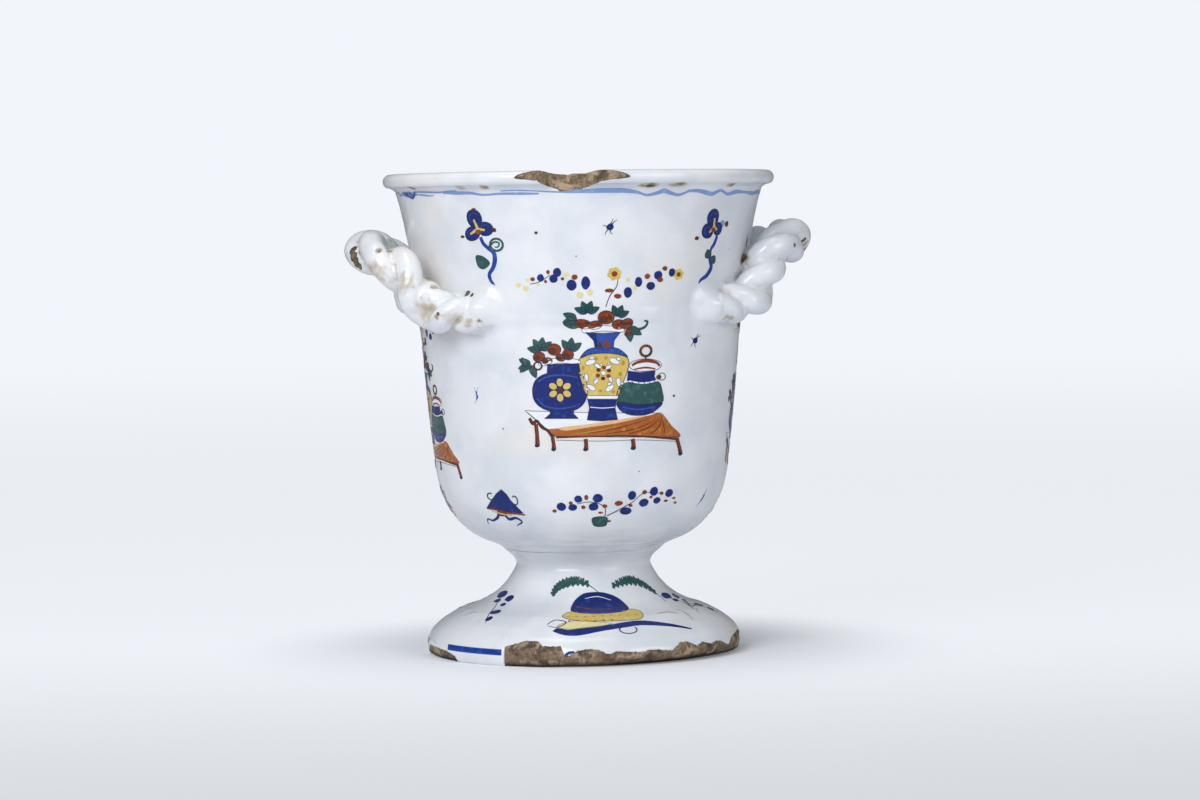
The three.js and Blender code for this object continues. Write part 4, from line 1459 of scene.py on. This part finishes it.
def hatMotif(panel):
    # Pointed blue hat-shaped blossom with a striped hem and tendrils
    patch(panel, "cobalt", [
        (-0.4, 7.4), (2.1, 5.2), (4.2, 1.7), (7.3, -1.8), (9.5, -4.4), (0.7, -4.1), (-6.4, -3),
        (-12.7, -2.5), (-8.1, 1.3), (-3.1, 5.6),
    ], 1, smooth=False, ink=0.3)
    stroke(
        panel, "rust", [(-12.5, -2.7), (-7.1, -3), (-1.2, -4.4), (5.3, -4.7), (10.3, -5.4)],
        (0.7, 1, 0.9, 1.1, 0.6), 3,
    )
    stroke(panel, "yellow", [(-10.1, -3.7), (-3.5, -5.2), (2.5, -5.8)], (0.5, 0.8, 0.5), 2)
    ring(panel, "green", -7.7, 3.6, 2, 1.7, 0.7, 1, start=60, sweep=230)
    ring(panel, "green", 6.3, 2, 1.6, 2.2, 0.7, 1, start=-110, sweep=240)
    stroke(
        panel, "cobalt", [(-5.5, -3.8), (-7.1, -6.9), (-12, -9), (-15.3, -8.3), (-17.4, -11.1)],
        (1.3, 1.4, 1, 0.7, 0.4), 1,
    )
    stroke(
        panel, "cobalt", [(-2.2, -5.2), (-0.2, -7.8), (4.4, -7.1), (7.2, -9.1), (3.1, -11.1)],
        (1.3, 1.5, 1.1, 0.8, 0.4), 1,
    )
    blob(panel, "cobalt", -3.7, -5, 3.1, 1.5, 1)


def bottomSpray(panel):
    # Two sprays of berries that spring from a little green pot
    dabs(panel, "cobalt", [
        (-19, 2.1, 2.3, 2.3), (-13.4, 1.7, 2.2, 1.9), (-10.6, 5.9, 2, 1.9), (-3.2, 1.9, 2.4, 2.2),
        (-1.3, 6.2, 2.5, 2.3), (13.3, -0.8, 3.1, 2.1), (15.5, 7.1, 2.1, 2.4), (22.2, 3.1, 2.6, 2.2),
        (26.9, 8.7, 2.3, 2.3), (29.4, 3.9, 2.1, 1.8), (35.8, 7.3, 2.3, 2.1),
    ], 1)
    dabs(panel, "rust", [
        (-22.6, -0.1, 1.1, 0.9), (-14.3, 3.9, 1, 0.9), (-6.8, 6.7, 1, 1.4), (-8.2, 1.8, 1.1, 1),
        (2.3, 2.1, 1.3, 1), (0.4, -1.2, 1.2, 0.6), (9.1, 3.4, 2.1, 1.3), (15.3, 2, 1, 0.8),
        (21.8, 8.5, 1.3, 1.1), (25.7, 5.8, 0.9, 0.7), (31.3, 7.5, 1.1, 0.9), (34.7, 3.4, 1.2, 0.7),
        (39.3, 4.6, 1.1, 0.6), (41, 2.2, 1, 0.6), (5.2, -5.7, 1, 0.6),
    ], 2)
    stroke(
        panel, "ink", [(2.7, -3.6), (2.7, 0.6), (-0.1, 3.2), (-5.4, 4.4), (-11.3, 3.4)], (0.4, 0.35, 0.25),
        1,
    )
    stroke(
        panel, "ink", [(3.7, -3), (9.9, 0.1), (16.3, 3.8), (21.6, 8), (30.4, 7.6)], (0.5, 0.4, 0.3, 0.25),
        1,
    )
    patch(
        panel, "green", [(-3.8, -4.2), (-0.3, -3.3), (3.9, -3.9), (3.9, -7.8), (0.2, -8.5), (-2.9, -7.6)],
        1, ink=0.25,
    )


def footTrophy(panel):
    # Blue dome on yellow fringed cushions, with a long blue brush stroke below and two feathery leaves above
    leftStem = [(-27.7, 12.9), (-26.1, 17.3), (-20.9, 20), (-12.3, 21.2), (-4.3, 19.4)]
    rightStem = [(12.7, 17.8), (20.9, 19.7), (30.3, 20.1), (39.7, 16.6), (44.5, 11.2)]
    for stem, widths, side in (
        (leftStem, (0.8, 1.6, 2.4, 2.4, 1), 1), (rightStem, (1, 2.4, 2.4, 1.6, 0.7), -1),
    ):
        stroke(panel, "green", stem, widths, 1)
        line = smoothLine(stem)
        for i in range(1, len(line) - 1, 2):
            x, y = line[i]
            reach = 2.3 + 1.5 * math.sin(math.pi * i / len(line))
            for heading in (-62, -18, 26, 118, 158):
                length = reach * (1 if abs(heading) < 90 else 0.8)
                leaf(panel, "green", x, y, length, reach * 0.62, heading * side, 2)
    stroke(panel, "green", [(-4.3, 19.4), (-0.6, 16.9), (2.8, 13.6)], (0.6, 0.4), 1)
    stroke(panel, "green", [(44.5, 11.2), (45, 7.6), (44.3, 3.5)], (0.6, 0.3), 1)
    patch(panel, "cobalt", [
        (-13.8, -0.1), (-13.3, 7.9), (-8.7, 13.2), (-2.2, 14.5), (4.9, 14.1), (11.4, 11.5), (15.2, 6.7),
        (15.2, -0.3), (5.8, -3.2), (-5.7, -3),
    ], 1, ink=0.4)
    stroke(panel, "reliefWhite", [(-6.9, 10.4), (1.2, 11.6), (8.5, 8.7)], (0.3, 0.5, 0.3), 3)
    stroke(panel, "rust", [(-11.8, 4.1), (-3.5, 1.2), (6.9, 1)], (0.4, 0.8, 0.5), 3)
    patch(panel, "yellow", [
        (-17.5, -6.6), (-14, -0.6), (-5.7, -3), (5.8, -3.2), (15.8, 0.1), (20.5, -2.8), (17.5, -10.8),
        (8.3, -12), (-1, -11.7), (-11, -10.9),
    ], 1, ink=0.3)
    patch(
        panel, "paleYellow",
        [(-17.9, -15.4), (-12.6, -11.3), (-4.3, -12), (3.6, -14.4), (-5.3, -16.8), (-14.5, -18.3)], 0,
        ink=0.24,
    )
    for i in range(9):
        x, y = (-14.8, -6.6)
        blob(panel, "ochre", x + i * 3.9, y - 0.6 * math.sin(i * 0.9), 0.75, 0.6, 3)
        if i < 6:
            blob(panel, "rust", x + 1 + i * 3.6, y - 4.6 + 0.4 * math.sin(i * 1.7), 0.55, 0.45, 3)
    stroke(panel, "cobalt", [
        (-18.8, -18.6), (-12.8, -21), (-2, -18.5), (8.7, -15.7), (16.5, -15), (26.7, -18.2), (35.9, -23),
    ], (3, 5, 3.6, 4.2, 4, 2.4, 0.8), 2)
    stroke(
        panel, "ink", [(-22.5, -14.6), (-19.9, -10.4), (-15, -12.2), (-17.7, -16.7), (-21.9, -15.9)],
        (0.4, 0.6, 0.5, 0.3), 1,
    )
    ring(panel, "ink", 9.1, -19.8, 3.4, 2.9, 0.5, 3, start=150, sweep=240)


def footBerries(panel):
    # Loose sprigs of berries between the trophies
    dabs(panel, "cobalt", [
        (-35.6, 6.5, 4.6, 2.8), (-23.7, 4.2, 2.9, 2.8), (-32.3, 1.5, 2.7, 1.7), (-19.9, -8.8, 3.2, 2.8),
        (-17.6, -16, 2, 2.1), (-22.8, -0.8, 1.8, 1.5),
    ], 1)
    stroke(panel, "faintBlue", [(-46.7, -21.1), (-45.1, -14.4), (-45.9, -7.6)], (0.6, 1.4, 0.5))
    stroke(panel, "faintBlue", [(-36, -17.4), (-34.5, -13.4), (-30.2, -11.7)], (0.5, 1.2, 0.4))
    stroke(panel, "ink", [(-16.6, -20), (-26.2, -4), (-34.5, 4.2)], (0.3, 0.5, 0.3))


def faintTwig(panel):
    # A few thin strokes, half run into the glaze
    stroke(panel, "brown", [(31.3, 6.8), (22.5, 1.8), (16.6, -3.5)], (0.5, 1.1, 0.4), 1)
    stroke(panel, "ink", [(23.5, 5.5), (20.7, 0), (35.1, 0.1)], (0.3, 0.7, 0.3), 1)
    stroke(panel, "faintBrown", [(-11.5, -2.6), (-4.6, -2), (0.1, -4.5)], (0.6, 1.5, 0.7), 1)


def wavyBorder(fromTurn, toTurn, level, width, wave, pitch, seed):
    # Hand-drawn pale blue line under the lip
    panel = panelAt((fromTurn + toTurn) / 2, level)
    half = math.radians(toTurn - fromTurn) / 2 * panel["radius"]
    count = max(int(2 * half / 2.2), 4)
    line, widths = [], []
    for i in range(count + 1):
        x = mix(-half, half, i / count)
        swing = wave * abs(math.sin(math.pi * x / pitch + seed))
        line.append((x, swing + 0.7 * noise.noise(Vector((x * 0.09, seed, 0)))))
        widths.append(width * (0.65 + 0.8 * abs(noise.noise(Vector((x * 0.14, seed, 5))))))
    for start in range(0, count, 8):
        stroke(panel, "wash", line[start:start + 9], widths[start:start + 9], 0)


def faintFly(panel):
    for points in (
        [(0, 2.6), (1.2, 4.8), (3, 5.6)], [(-0.4, 2.2), (-1.2, 4.6), (-0.6, 6.6)],
        [(0, -1), (-1.4, -3), (-1, -4.6)],
    ):
        stroke(panel, "faintBlue", points, (0.5, 0.45, 0.25))
    stroke(panel, "cobaltMid", [(-0.4, -1.2), (0.3, 0.2), (-0.2, 1.8), (0.4, 2.8)], (0.5, 1.1, 0.7, 0.5), 1)


def greyFly(panel):
    stroke(panel, "faintBlue", [(-3, -4), (-0.6, -1), (0.4, 1.5), (2, 4.6)], (0.4, 1.6, 1.8, 0.5))
    stroke(panel, "cobaltMid", [(-0.8, -1.4), (0.4, 1.6)], (0.8, 0.9), 1)


# Where each motif goes. The back repeats the front, and each side under a handle has a smaller group.
paintPlan = {
    "front": 0, "back": 180, "sides": (-90, 90), "tableLevel": 113.5, "sideLevel": 100.5, "sideScale": 0.84,
    "borderLevel": 234, "bandArc": 7.5, "bandWidth": 3, "bandStep": 1, "bandEndsAbove": 5.4,
}
for turn in (paintPlan["front"], paintPlan["back"]):
    vasesOnTable(panelAt(turn, paintPlan["tableLevel"]))
    stalkFlowerLeft(panelAt(turn - 41, 200))
    stalkFlowerRight(panelAt(turn + 41, 200))
    insect(panelAt(turn + 1.9, 217), 1.05)
    insect(panelAt(turn + 36.5, 160), 0.95, lean=-12)
    hatMotif(panelAt(turn - 41, 80))
    bottomSpray(panelAt(turn - 1, 77))
    footTrophy(panelAt(turn, 41, on="foot"))
    footBerries(panelAt(turn - 35, 45, on="foot"))
    faintTwig(panelAt(turn + 40, 36, on="foot"))
    faintFly(panelAt(turn - 48.9, 133.5))
    greyFly(panelAt(turn + 49.8, 80))
for turn in paintPlan["sides"]:
    vasesOnTable(panelAt(turn, paintPlan["sideLevel"], scale=paintPlan["sideScale"]))
    hatMotif(panelAt(turn, 80, scale=0.9))
    footBerries(panelAt(turn, 43, on="foot", scale=0.9))

# Watery blue border under the lip: degrees from the motif's middle, height in mm and thickness in mm
lipBorder = [
    (
        "cobaltLight",
        [(-79, 236.2, 1.1), (-76, 234.6, 2), (-73.5, 235.6, 1.3), (-71, 233.6, 1.6), (-68.6, 235.9, 1)],
    ),
    ("cobaltLight", [(-77, 235.4, 1), (-74, 233.6, 1.5), (-71.6, 232.6, 1.1), (-69.5, 234.4, 1)]),
    ("wash", [(-80, 235, 1.8), (-74, 234.4, 3), (-68, 234.8, 1.8)]),
    ("wash", [(-70, 235.9, 0.8), (-62, 235.5, 0.9), (-56, 235.2, 0.9), (-50.8, 235.8, 0.8), (-48, 236, 0.5)]),
    ("wash", [(-68, 234.4, 0.6), (-64, 234, 0.9), (-60.5, 233.6, 0.8), (-58.5, 233.8, 0.4)]),
    ("wash", [
        (-54, 234.6, 0.6), (-51.6, 234.9, 1.8), (-47.4, 234.7, 1.5), (-42.8, 234.6, 1.1), (-38.2, 233.6, 1),
        (-32.3, 234, 1.2), (-25.8, 233.9, 1.3), (-20, 233.8, 0.8),
    ]),
    ("wash", [(-32, 235.4, 0.6), (-27, 235.5, 0.7), (-21, 235.1, 0.6), (-16, 234.6, 0.8), (-11, 234.3, 0.7)]),
    ("wash", [
        (-11.4, 234.3, 0.8), (-7.5, 234.7, 1.9), (-3.9, 234.8, 2.2), (0, 234.9, 2.4), (5.2, 234.8, 2.5),
        (10, 233.9, 2), (13.3, 232.4, 1.1), (16.9, 233.5, 1.5), (18.8, 234.4, 2.3), (21, 233.4, 1.5),
        (24, 232.3, 1.1),
        (26.4, 233.3, 1.6), (28.3, 234.3, 2.2), (32.2, 234.1, 2.1), (37.1, 232.7, 1.2), (39.3, 233.5, 1.6),
        (41.2, 234.4, 2.3), (43.2, 233.5, 1.6), (45.5, 232.6, 1.2), (49.9, 233.7, 2.1), (56.2, 233.5, 1.9),
        (63.6, 233, 2.1), (70, 233.9, 1.7), (75, 233.2, 1.9), (80, 234, 1.6),
    ]),
]
for turn in (paintPlan["front"], paintPlan["back"]):
    for enamel, line in lipBorder:
        middle = (line[0][0] + line[-1][0]) / 2
        panel = panelAt(turn + middle, paintPlan["borderLevel"])
        across = math.radians(1) * panel["radius"]
        points = [
            ((degrees - middle) * across, height - paintPlan["borderLevel"])
            for degrees, height, width in line
        ]
        stroke(panel, enamel, points, [width for degrees, height, width in line])
    wavyBorder(turn + 79, turn + 101, paintPlan["borderLevel"], 1.5, 2.1, 17, 0.9)
bandStep = paintPlan["bandStep"]
for start in range(-94, 266, bandStep):
    # Blue band round the foot's edge, where the glaze still covers the edge
    flaked = max(footBreakEdge((turn + 180) % 360 - 180) for turn in (start, start + bandStep))
    if flaked > paintPlan["bandEndsAbove"]:
        continue
    panel = panelAt(start + bandStep / 2, paintPlan["bandArc"], on="foot")
    half = math.radians(bandStep / 2 + 0.08) * panel["radius"]
    stroke(panel, "cobaltMid", [(-half, 0), (half, 0)], (paintPlan["bandWidth"],), 0)
stroke(panelAt(-13.4, 7.6, on="foot"), "cobaltMid", [(-2.2, -0.6), (0, 0.5), (2.4, 1)], (0.8, 1.5, 0.8))
for turn, level, size in (
    (-21.7, 214.7, 1), (27.6, 133, 0.8), (-38, 118, 0.5), (14, 96, 0.4), (-9, 203, 0.4), (52, 205, 0.4),
):
    speck = panelAt(turn, level)
    blob(speck, "faintBrown", 0, 0, size * 1.05, size * 0.95)
    blob(speck, "ink", 0, 0, size * 0.7, size * 0.62, 1)
print("painting drawn:", sum(len(shapes) for shapes in paintShapes.values()), "shapes")


def denseOutline(outline):
    # The outline without doubled points, its long edges cut into short ones
    clean = [outline[0]]
    for point in outline[1:]:
        if math.dist(point, clean[-1]) > 0.04:
            clean.append(point)
    if math.dist(clean[0], clean[-1]) < 0.04:
        clean.pop()
    if len(clean) < 3:
        return []
    dense = []
    for a, b in zip(clean, clean[1:] + clean[:1]):
        parts = max(1, math.ceil(math.dist(a, b) / paintForm["edgeStep"]))
        dense += [(mix(a[0], b[0], i / parts), mix(a[1], b[1], i / parts)) for i in range(parts)]
    return dense


def gridInside(outline):
    # Points inside the outline that let the skin follow the curve of the glaze
    step = paintForm["grid"]
    border = [Vector(p) for p in outline]
    low = [min(p[axis] for p in outline) for axis in (0, 1)]
    high = [max(p[axis] for p in outline) for axis in (0, 1)]
    inside = []
    for i in range(int((high[0] - low[0]) / step) + 1):
        for j in range(int((high[1] - low[1]) / step) + 1):
            spot = Vector((low[0] + (i + 0.5) * step, low[1] + (j + 0.5) * step))
            if insideOutline(spot, outline) and min((spot - p).length for p in border) > step * 0.35:
                inside.append(spot)
    return border + inside


def skinMesh(shapes):
    # Each shape becomes a thin closed skin that lies on the glaze, fine enough to follow its curve
    points, faces, edges = [], [], []
    for number, (panel, outline, layer) in enumerate(shapes):
        dense = denseOutline(outline)
        if not dense:
            continue
        border = [(i, (i + 1) % len(dense)) for i in range(len(dense))]
        result = geometry.delaunay_2d_cdt(gridInside(dense), border, [], 1, 1e-4)
        flat, triangles = result[0], [f for f in result[2] if len(f) == 3]
        used = {}
        for triangle in triangles:
            for a, b in zip(triangle, triangle[1:] + triangle[:1]):
                used[(a, b)] = True
        outer = [edge for edge in used if (edge[1], edge[0]) not in used]
        onEdge = {a for a, b in outer} | {b for a, b in outer}
        lift = paintForm["lift"] + paintForm["layerStep"] * layer + paintForm["shapeStep"] * (number % 9)
        base = len(points)
        for height in (lift, -paintForm["bedded"]):
            for index, spot in enumerate(flat):
                points.append(onPanel(panel, spot[0], spot[1], height))
                edges.append(1.0 if index in onEdge else 0.0)
        under = base + len(flat)
        for a, b, c in triangles:
            faces.append((base + a, base + b, base + c))
            faces.append((under + c, under + b, under + a))
        for a, b in outer:
            faces.append((base + b, base + a, under + a, under + b))
    return points, faces, edges


def insideOutline(spot, outline):
    inside = False
    for (x0, y0), (x1, y1) in zip(outline, outline[1:] + outline[:1]):
        if (y0 > spot[1]) != (y1 > spot[1]) and spot[0] < (x1 - x0) * (spot[1] - y0) / (y1 - y0) + x0:
            inside = not inside
    return inside


# High-fire colours in the glossy glaze, from cobalt, copper, antimony, iron and manganese: where the brush
# left each thick, and where thin
enamels = {
    "cobalt": ("#0A2069", "#1B3C94"), "cobaltMid": ("#173A90", "#3460AA"),
    "cobaltLight": ("#25489A", "#4269B2"), "wash": ("#7A97C8", "#9CB4DA"),
    "green": ("#274F4C", "#456E6B"), "yellow": ("#CDB35C", "#DFCB84"),
    "paleYellow": ("#DDD29A", "#E8E0B8"), "ochre": ("#A98F3C", "#C4AB5B"), "rust": ("#7E3510", "#A35522"),
    "brown": ("#512712", "#764022"), "orange": ("#A35A1E", "#CE8F4C"), "paleOrange": ("#DDB080", "#EBD0AE"),
    "ink": ("#1E2444", "#30365C"), "reliefWhite": ("#E4E8EE", "#DCE1E8"), "faintBlue": ("#A3AEC2", "#C3CBD8"),
    "faintBrown": ("#B5A28F", "#CFC3B4"),
}


enamelLook = {"roughness": 0.16, "ior": 1.5, "specular": 0.3, "brushMarks": 3.2, "relief": 0.3}


def enamelPaint(name):
    # Metal oxide sunk in the molten glaze: glossy, deeper where the brush left it thick and along its edge
    deep, thin = [linearColour(hexText) for hexText in enamels[name]]
    material, tree = newMaterial(name + "_in_glaze_colour")
    place = addNode(tree, "ShaderNodeTexCoord").outputs["Object"]
    pool = clouds(tree, place, enamelLook["brushMarks"], 3, 0.6)
    colour = colourMix(tree, shareBetween(tree, pool, 0.5, 0.78), deep, thin)
    colour = colourMix(tree, reckon(tree, "MULTIPLY", vertexMark(tree, "rim"), 0.35), colour, deep)
    peel = clouds(tree, place, glazeLook["peel"], 2)
    bump = addNode(tree, "ShaderNodeBump", Strength=enamelLook["relief"], Distance=0.0002, Height=peel)
    shader = addNode(
        tree, "ShaderNodeBsdfPrincipled", Roughness=enamelLook["roughness"], IOR=enamelLook["ior"],
        Normal=bump.outputs[0],
    )
    tree.links.new(colour, shader.inputs["Base Color"])
    shader.inputs["Specular IOR Level"].default_value = enamelLook["specular"]
    addNode(tree, "ShaderNodeOutputMaterial", Surface=shader.outputs[0])
    return material


def dabTree():
    # Sets one flat dab of colour on each point, turned to the surface, with an uneven edge
    tree, given = pieceTree("brushDabs", (
        ("Thickness", "NodeSocketFloat", 0.0003), ("Unevenness", "NodeSocketFloat", 0.0002),
        ("Seed", "NodeSocketFloat", 3.0), ("Colour", "NodeSocketMaterial", None),
    ))
    facing, across, size = [
        addNode(tree, "GeometryNodeInputNamedAttribute", {"data_type": "FLOAT_VECTOR"}, Name=name).outputs[0]
        for name in ("facing", "across", "size")
    ]
    turned = addNode(
        tree, "FunctionNodeAxesToRotation", {"primary_axis": "Z", "secondary_axis": "X"},
        i0=facing, i1=across,
    ).outputs[0]
    disc = addNode(
        tree, "GeometryNodeMeshCylinder", {"fill_type": "TRIANGLE_FAN"},
        Vertices=22, Radius=1.0, Depth=given["Thickness"],
    ).outputs["Mesh"]
    placed = addNode(
        tree, "GeometryNodeInstanceOnPoints",
        Points=given["Geometry"], Instance=disc, Rotation=turned, Scale=size,
    )
    whole = addNode(tree, "GeometryNodeRealizeInstances", Geometry=placed.outputs[0])
    place = addNode(tree, "GeometryNodeInputPosition").outputs[0]
    wobble = addNode(
        tree, "ShaderNodeTexNoise", {"noise_dimensions": "4D"},
        Vector=place, W=given["Seed"], Scale=420, Detail=1,
    ).outputs["Color"]
    wobble = reckonVector(tree, "SUBTRACT", wobble, (0.5, 0.5, 0.5))
    wobble = addNode(
        tree, "ShaderNodeVectorMath", {"operation": "SCALE"}, i0=wobble, Scale=given["Unevenness"],
    ).outputs[0]
    uneven = addNode(tree, "GeometryNodeSetPosition", Geometry=whole.outputs[0], Offset=wobble)
    return treeGives(tree, uneven.outputs[0], given["Colour"])


def dabPiece(name, spots, tree, colour):
    points, facing, across, size = [], [], [], []
    for panel, x, y, wide, high, layer in spots:
        lift = paintForm["lift"] + paintForm["layerStep"] * layer - paintForm["dabSunk"]
        middle = Vector(onPanel(panel, x, y, 0))
        points.append(onPanel(panel, x, y, lift))
        facing.extend((Vector(onPanel(panel, x, y, 1)) - middle).normalized())
        across.extend((Vector(onPanel(panel, x + 1, y, 0)) - middle).normalized())
        size += [wide * panel["scale"] * mm, high * panel["scale"] * mm, 1]
    piece = meshPiece(name, points, [])
    for key, values in (("facing", facing), ("across", across), ("size", size)):
        piece.data.attributes.new(key, "FLOAT_VECTOR", "POINT").data.foreach_set("vector", values)
    growMesh(piece, tree, {
        "Thickness": paintForm["dabThickness"] * mm, "Unevenness": paintForm["dabUnevenness"] * mm,
        "Seed": float(len(points)), "Colour": colour,
    })
    writeAttribute(piece, "rim", [0.5] * len(piece.data.vertices))
    return piece


brushDabs = dabTree()
enamelMaterials = {name: enamelPaint(name) for name in enamels}
paintedOn = (("bowl", onWall), ("foot", onFoot))
for name, shapes in paintShapes.items():
    for where, place in paintedOn:
        kept = [shape for shape in shapes if shape[0]["place"] is place]
        if kept:
            points, faces, rim = skinMesh(kept)
            piece = meshPiece("painting_" + name + "_on_" + where, points, faces, smooth=False)
            writeAttribute(piece, "rim", rim)
            finishPiece(piece, enamelMaterials[name])

for name, spots in paintDabs.items():
    for where, place in paintedOn:
        kept = [spot for spot in spots if spot[0]["place"] is place]
        if kept:
            piece = dabPiece("dabs_" + name + "_on_" + where, kept, brushDabs, enamelMaterials[name])
            finishPiece(piece, enamelMaterials[name])
print("painting laid on")

# Camera at the photograph's viewing angle, 1.9 m away and a little below the lip. Angles are in degrees,
# yaw and pitch from straight at the axis and level, and lengths in mm.
view = {
    "from": 8, "distance": 1902, "height": 220, "yaw": 0.2915, "pitch": -2.7601, "roll": -0.7861,
    "lens": 111.33, "sensor": 36,
}
camera = linkedObject("camera", bpy.data.cameras.new("camera"))
camera.data.lens = view["lens"]
camera.data.sensor_width = view["sensor"]
camera.data.clip_end = 20
bearing = math.radians(view["from"])
aim = bearing + math.radians(view["yaw"])
dip = math.radians(view["pitch"])
forward = Vector((math.sin(aim) * math.cos(dip), math.cos(aim) * math.cos(dip), math.sin(dip)))
level = forward.cross(Vector((0, 0, 1))).normalized()
upright = level.cross(forward)
roll = math.radians(view["roll"])
rightward = level * math.cos(roll) + upright * math.sin(roll)
upward = upright * math.cos(roll) - level * math.sin(roll)
turned = Matrix((rightward, upward, -forward)).transposed().to_4x4()
toCamera = Vector((-math.sin(bearing), -math.cos(bearing), 0))
stand = toCamera * view["distance"] + Vector((0, 0, view["height"]))
camera.matrix_world = Matrix.Translation(stand * mm) @ turned
bpy.context.scene.camera = camera
bpy.context.scene.view_settings.view_transform = "Standard"

# Studio: a pale table of paper, a large soft light from the upper left, a weaker one from the right and a
# faint one from above. Its lengths are in metres, apart from the paper's reach in mm.
studio = {
    "paper": "#F2F5FB", "paperShown": 0.86, "paperLight": 1.0, "frontPaintedShade": 0.72, "paperReach": 7000,
    "footPaper": 0.1, "footShade": (0.075, 0.2), "frontPaintedShadeSpan": (-0.62, 0.1), "nearFade": (-0.75, -1.6),
    "farFade": (0.25, 4.2), "fibres": 900,
    "key": {"turn": -30, "rise": 34, "away": 1.9, "wide": 1.1, "watts": 21},
    "top": {"place": (-0.15, -0.1, 1.4), "wide": 0.9, "watts": 5},
    "fill": {"turn": 48, "rise": 22, "away": 2.1, "wide": 1.2, "watts": 11},
    "aimHeight": 0.13, "world": "#EDF1F7", "worldStrength": 0.2,
}


def softLight(name, setting, place):
    lamp = bpy.data.lights.new(name, "AREA")
    lamp.shape = "DISK"
    lamp.size = setting["wide"]
    lamp.energy = setting["watts"]
    light = linkedObject(name, lamp)
    light.location = place
    target = Vector((0, 0, studio["aimHeight"]))
    light.rotation_euler = (place - target).to_track_quat("Z", "Y").to_euler()


def around(setting):
    # Place of a lamp by its angle round from the camera's side and its rise above the table
    turn = bearing + math.radians(-setting["turn"])
    rise = math.radians(setting["rise"])
    flat = Vector((-math.sin(turn), -math.cos(turn), 0)) * math.cos(rise)
    return (flat + Vector((0, 0, math.sin(rise)))) * setting["away"]


softLight("keyLight", studio["key"], around(studio["key"]))
softLight("fillLight", studio["fill"], around(studio["fill"]))
softLight("topLight", studio["top"], Vector(studio["top"]["place"]))

world = bpy.data.worlds.new("studio")
bpy.context.scene.world = world
world.use_nodes = True
world.node_tree.nodes.clear()
sky = world.node_tree
skyRays = addNode(sky, "ShaderNodeLightPath")
plainSky = addNode(
    sky, "ShaderNodeBackground", Color=linearColour(studio["world"]), Strength=studio["worldStrength"],
)
whiteSky = addNode(sky, "ShaderNodeBackground", Color=linearColour(studio["paper"]), Strength=1.0)
blendSky = addNode(
    sky, "ShaderNodeMixShader", i0=skyRays.outputs["Is Camera Ray"], i1=plainSky.outputs[0],
    i2=whiteSky.outputs[0],
)
addNode(sky, "ShaderNodeOutputWorld", Surface=blendSky.outputs[0])


def paperTable():
    # Flat round of paper, wide enough that its far edge is as pale as the backdrop from every side
    count = 96
    reach = studio["paperReach"]
    points = [
        (reach * math.cos(math.tau * i / count), reach * math.sin(math.tau * i / count), 0)
        for i in range(count)
    ]
    return meshPiece("paper_table", points, [tuple(range(count))])


def paperMaterial():
    # Paper that the camera sees evenly bright, with painted shade on it in front of the vase, and that takes
    # its soft shadow
    paper, tree = newMaterial("matt_backdrop_paper")
    rays = addNode(tree, "ShaderNodeLightPath")
    fibres = addNode(tree, "ShaderNodeTexNoise", Scale=studio["fibres"], Detail=3)
    lit = addNode(tree, "ShaderNodeBsdfPrincipled", Roughness=0.9)
    lit.inputs["Base Color"].default_value = linearColour(studio["paper"])
    press = addNode(tree, "ShaderNodeBump", Strength=0.02, Distance=0.0002, Height=fibres.outputs[0])
    tree.links.new(press.outputs[0], lit.inputs["Normal"])
    spot = addNode(tree, "ShaderNodeTexCoord").outputs["Object"]
    flatSpot = reckonVector(tree, "MULTIPLY", spot, (1, 1, 0))
    fromFoot = addNode(tree, "ShaderNodeVectorMath", {"operation": "LENGTH"}, i0=flatSpot).outputs["Value"]
    farOff = shareBetween(tree, fromFoot, *studio["farFade"])
    behind = (math.sin(bearing), math.cos(bearing), 0)
    depth = addNode(tree, "ShaderNodeVectorMath", {"operation": "DOT_PRODUCT"}, i0=spot, i1=behind)
    depth = depth.outputs["Value"]
    # Painted shade: the paper's glow is dimmed in front of the vase, and comes back to full further forward
    # and further out
    paintedFrontShade = shareBetween(tree, depth, *studio["frontPaintedShadeSpan"], studio["frontPaintedShade"], studio["paperLight"])
    plain = reckon(tree, "MAXIMUM", farOff, shareBetween(tree, depth, *studio["nearFade"]))
    strength = addNode(tree, "ShaderNodeMix", {"data_type": "FLOAT"}, i0=plain, i2=paintedFrontShade, i3=1.0).outputs[0]
    glow = addNode(tree, "ShaderNodeEmission", Color=linearColour(studio["paper"]), Strength=strength)
    # Close round the foot the paper shows its own shading, so that the vase stands in its soft shadow
    shown = shareBetween(tree, fromFoot, *studio["footShade"], studio["footPaper"], studio["paperShown"])
    shown = addNode(tree, "ShaderNodeMix", {"data_type": "FLOAT"}, i0=farOff, i2=shown, i3=1.0).outputs[0]
    seen = reckon(tree, "MULTIPLY", rays.outputs["Is Camera Ray"], shown)
    both = addNode(tree, "ShaderNodeMixShader", i0=seen, i1=lit.outputs[0], i2=glow.outputs[0])
    addNode(tree, "ShaderNodeOutputMaterial", Surface=both.outputs[0])
    return paper


table = paperTable()
table.data.materials.append(paperMaterial())
print("camera, lights and paper set")
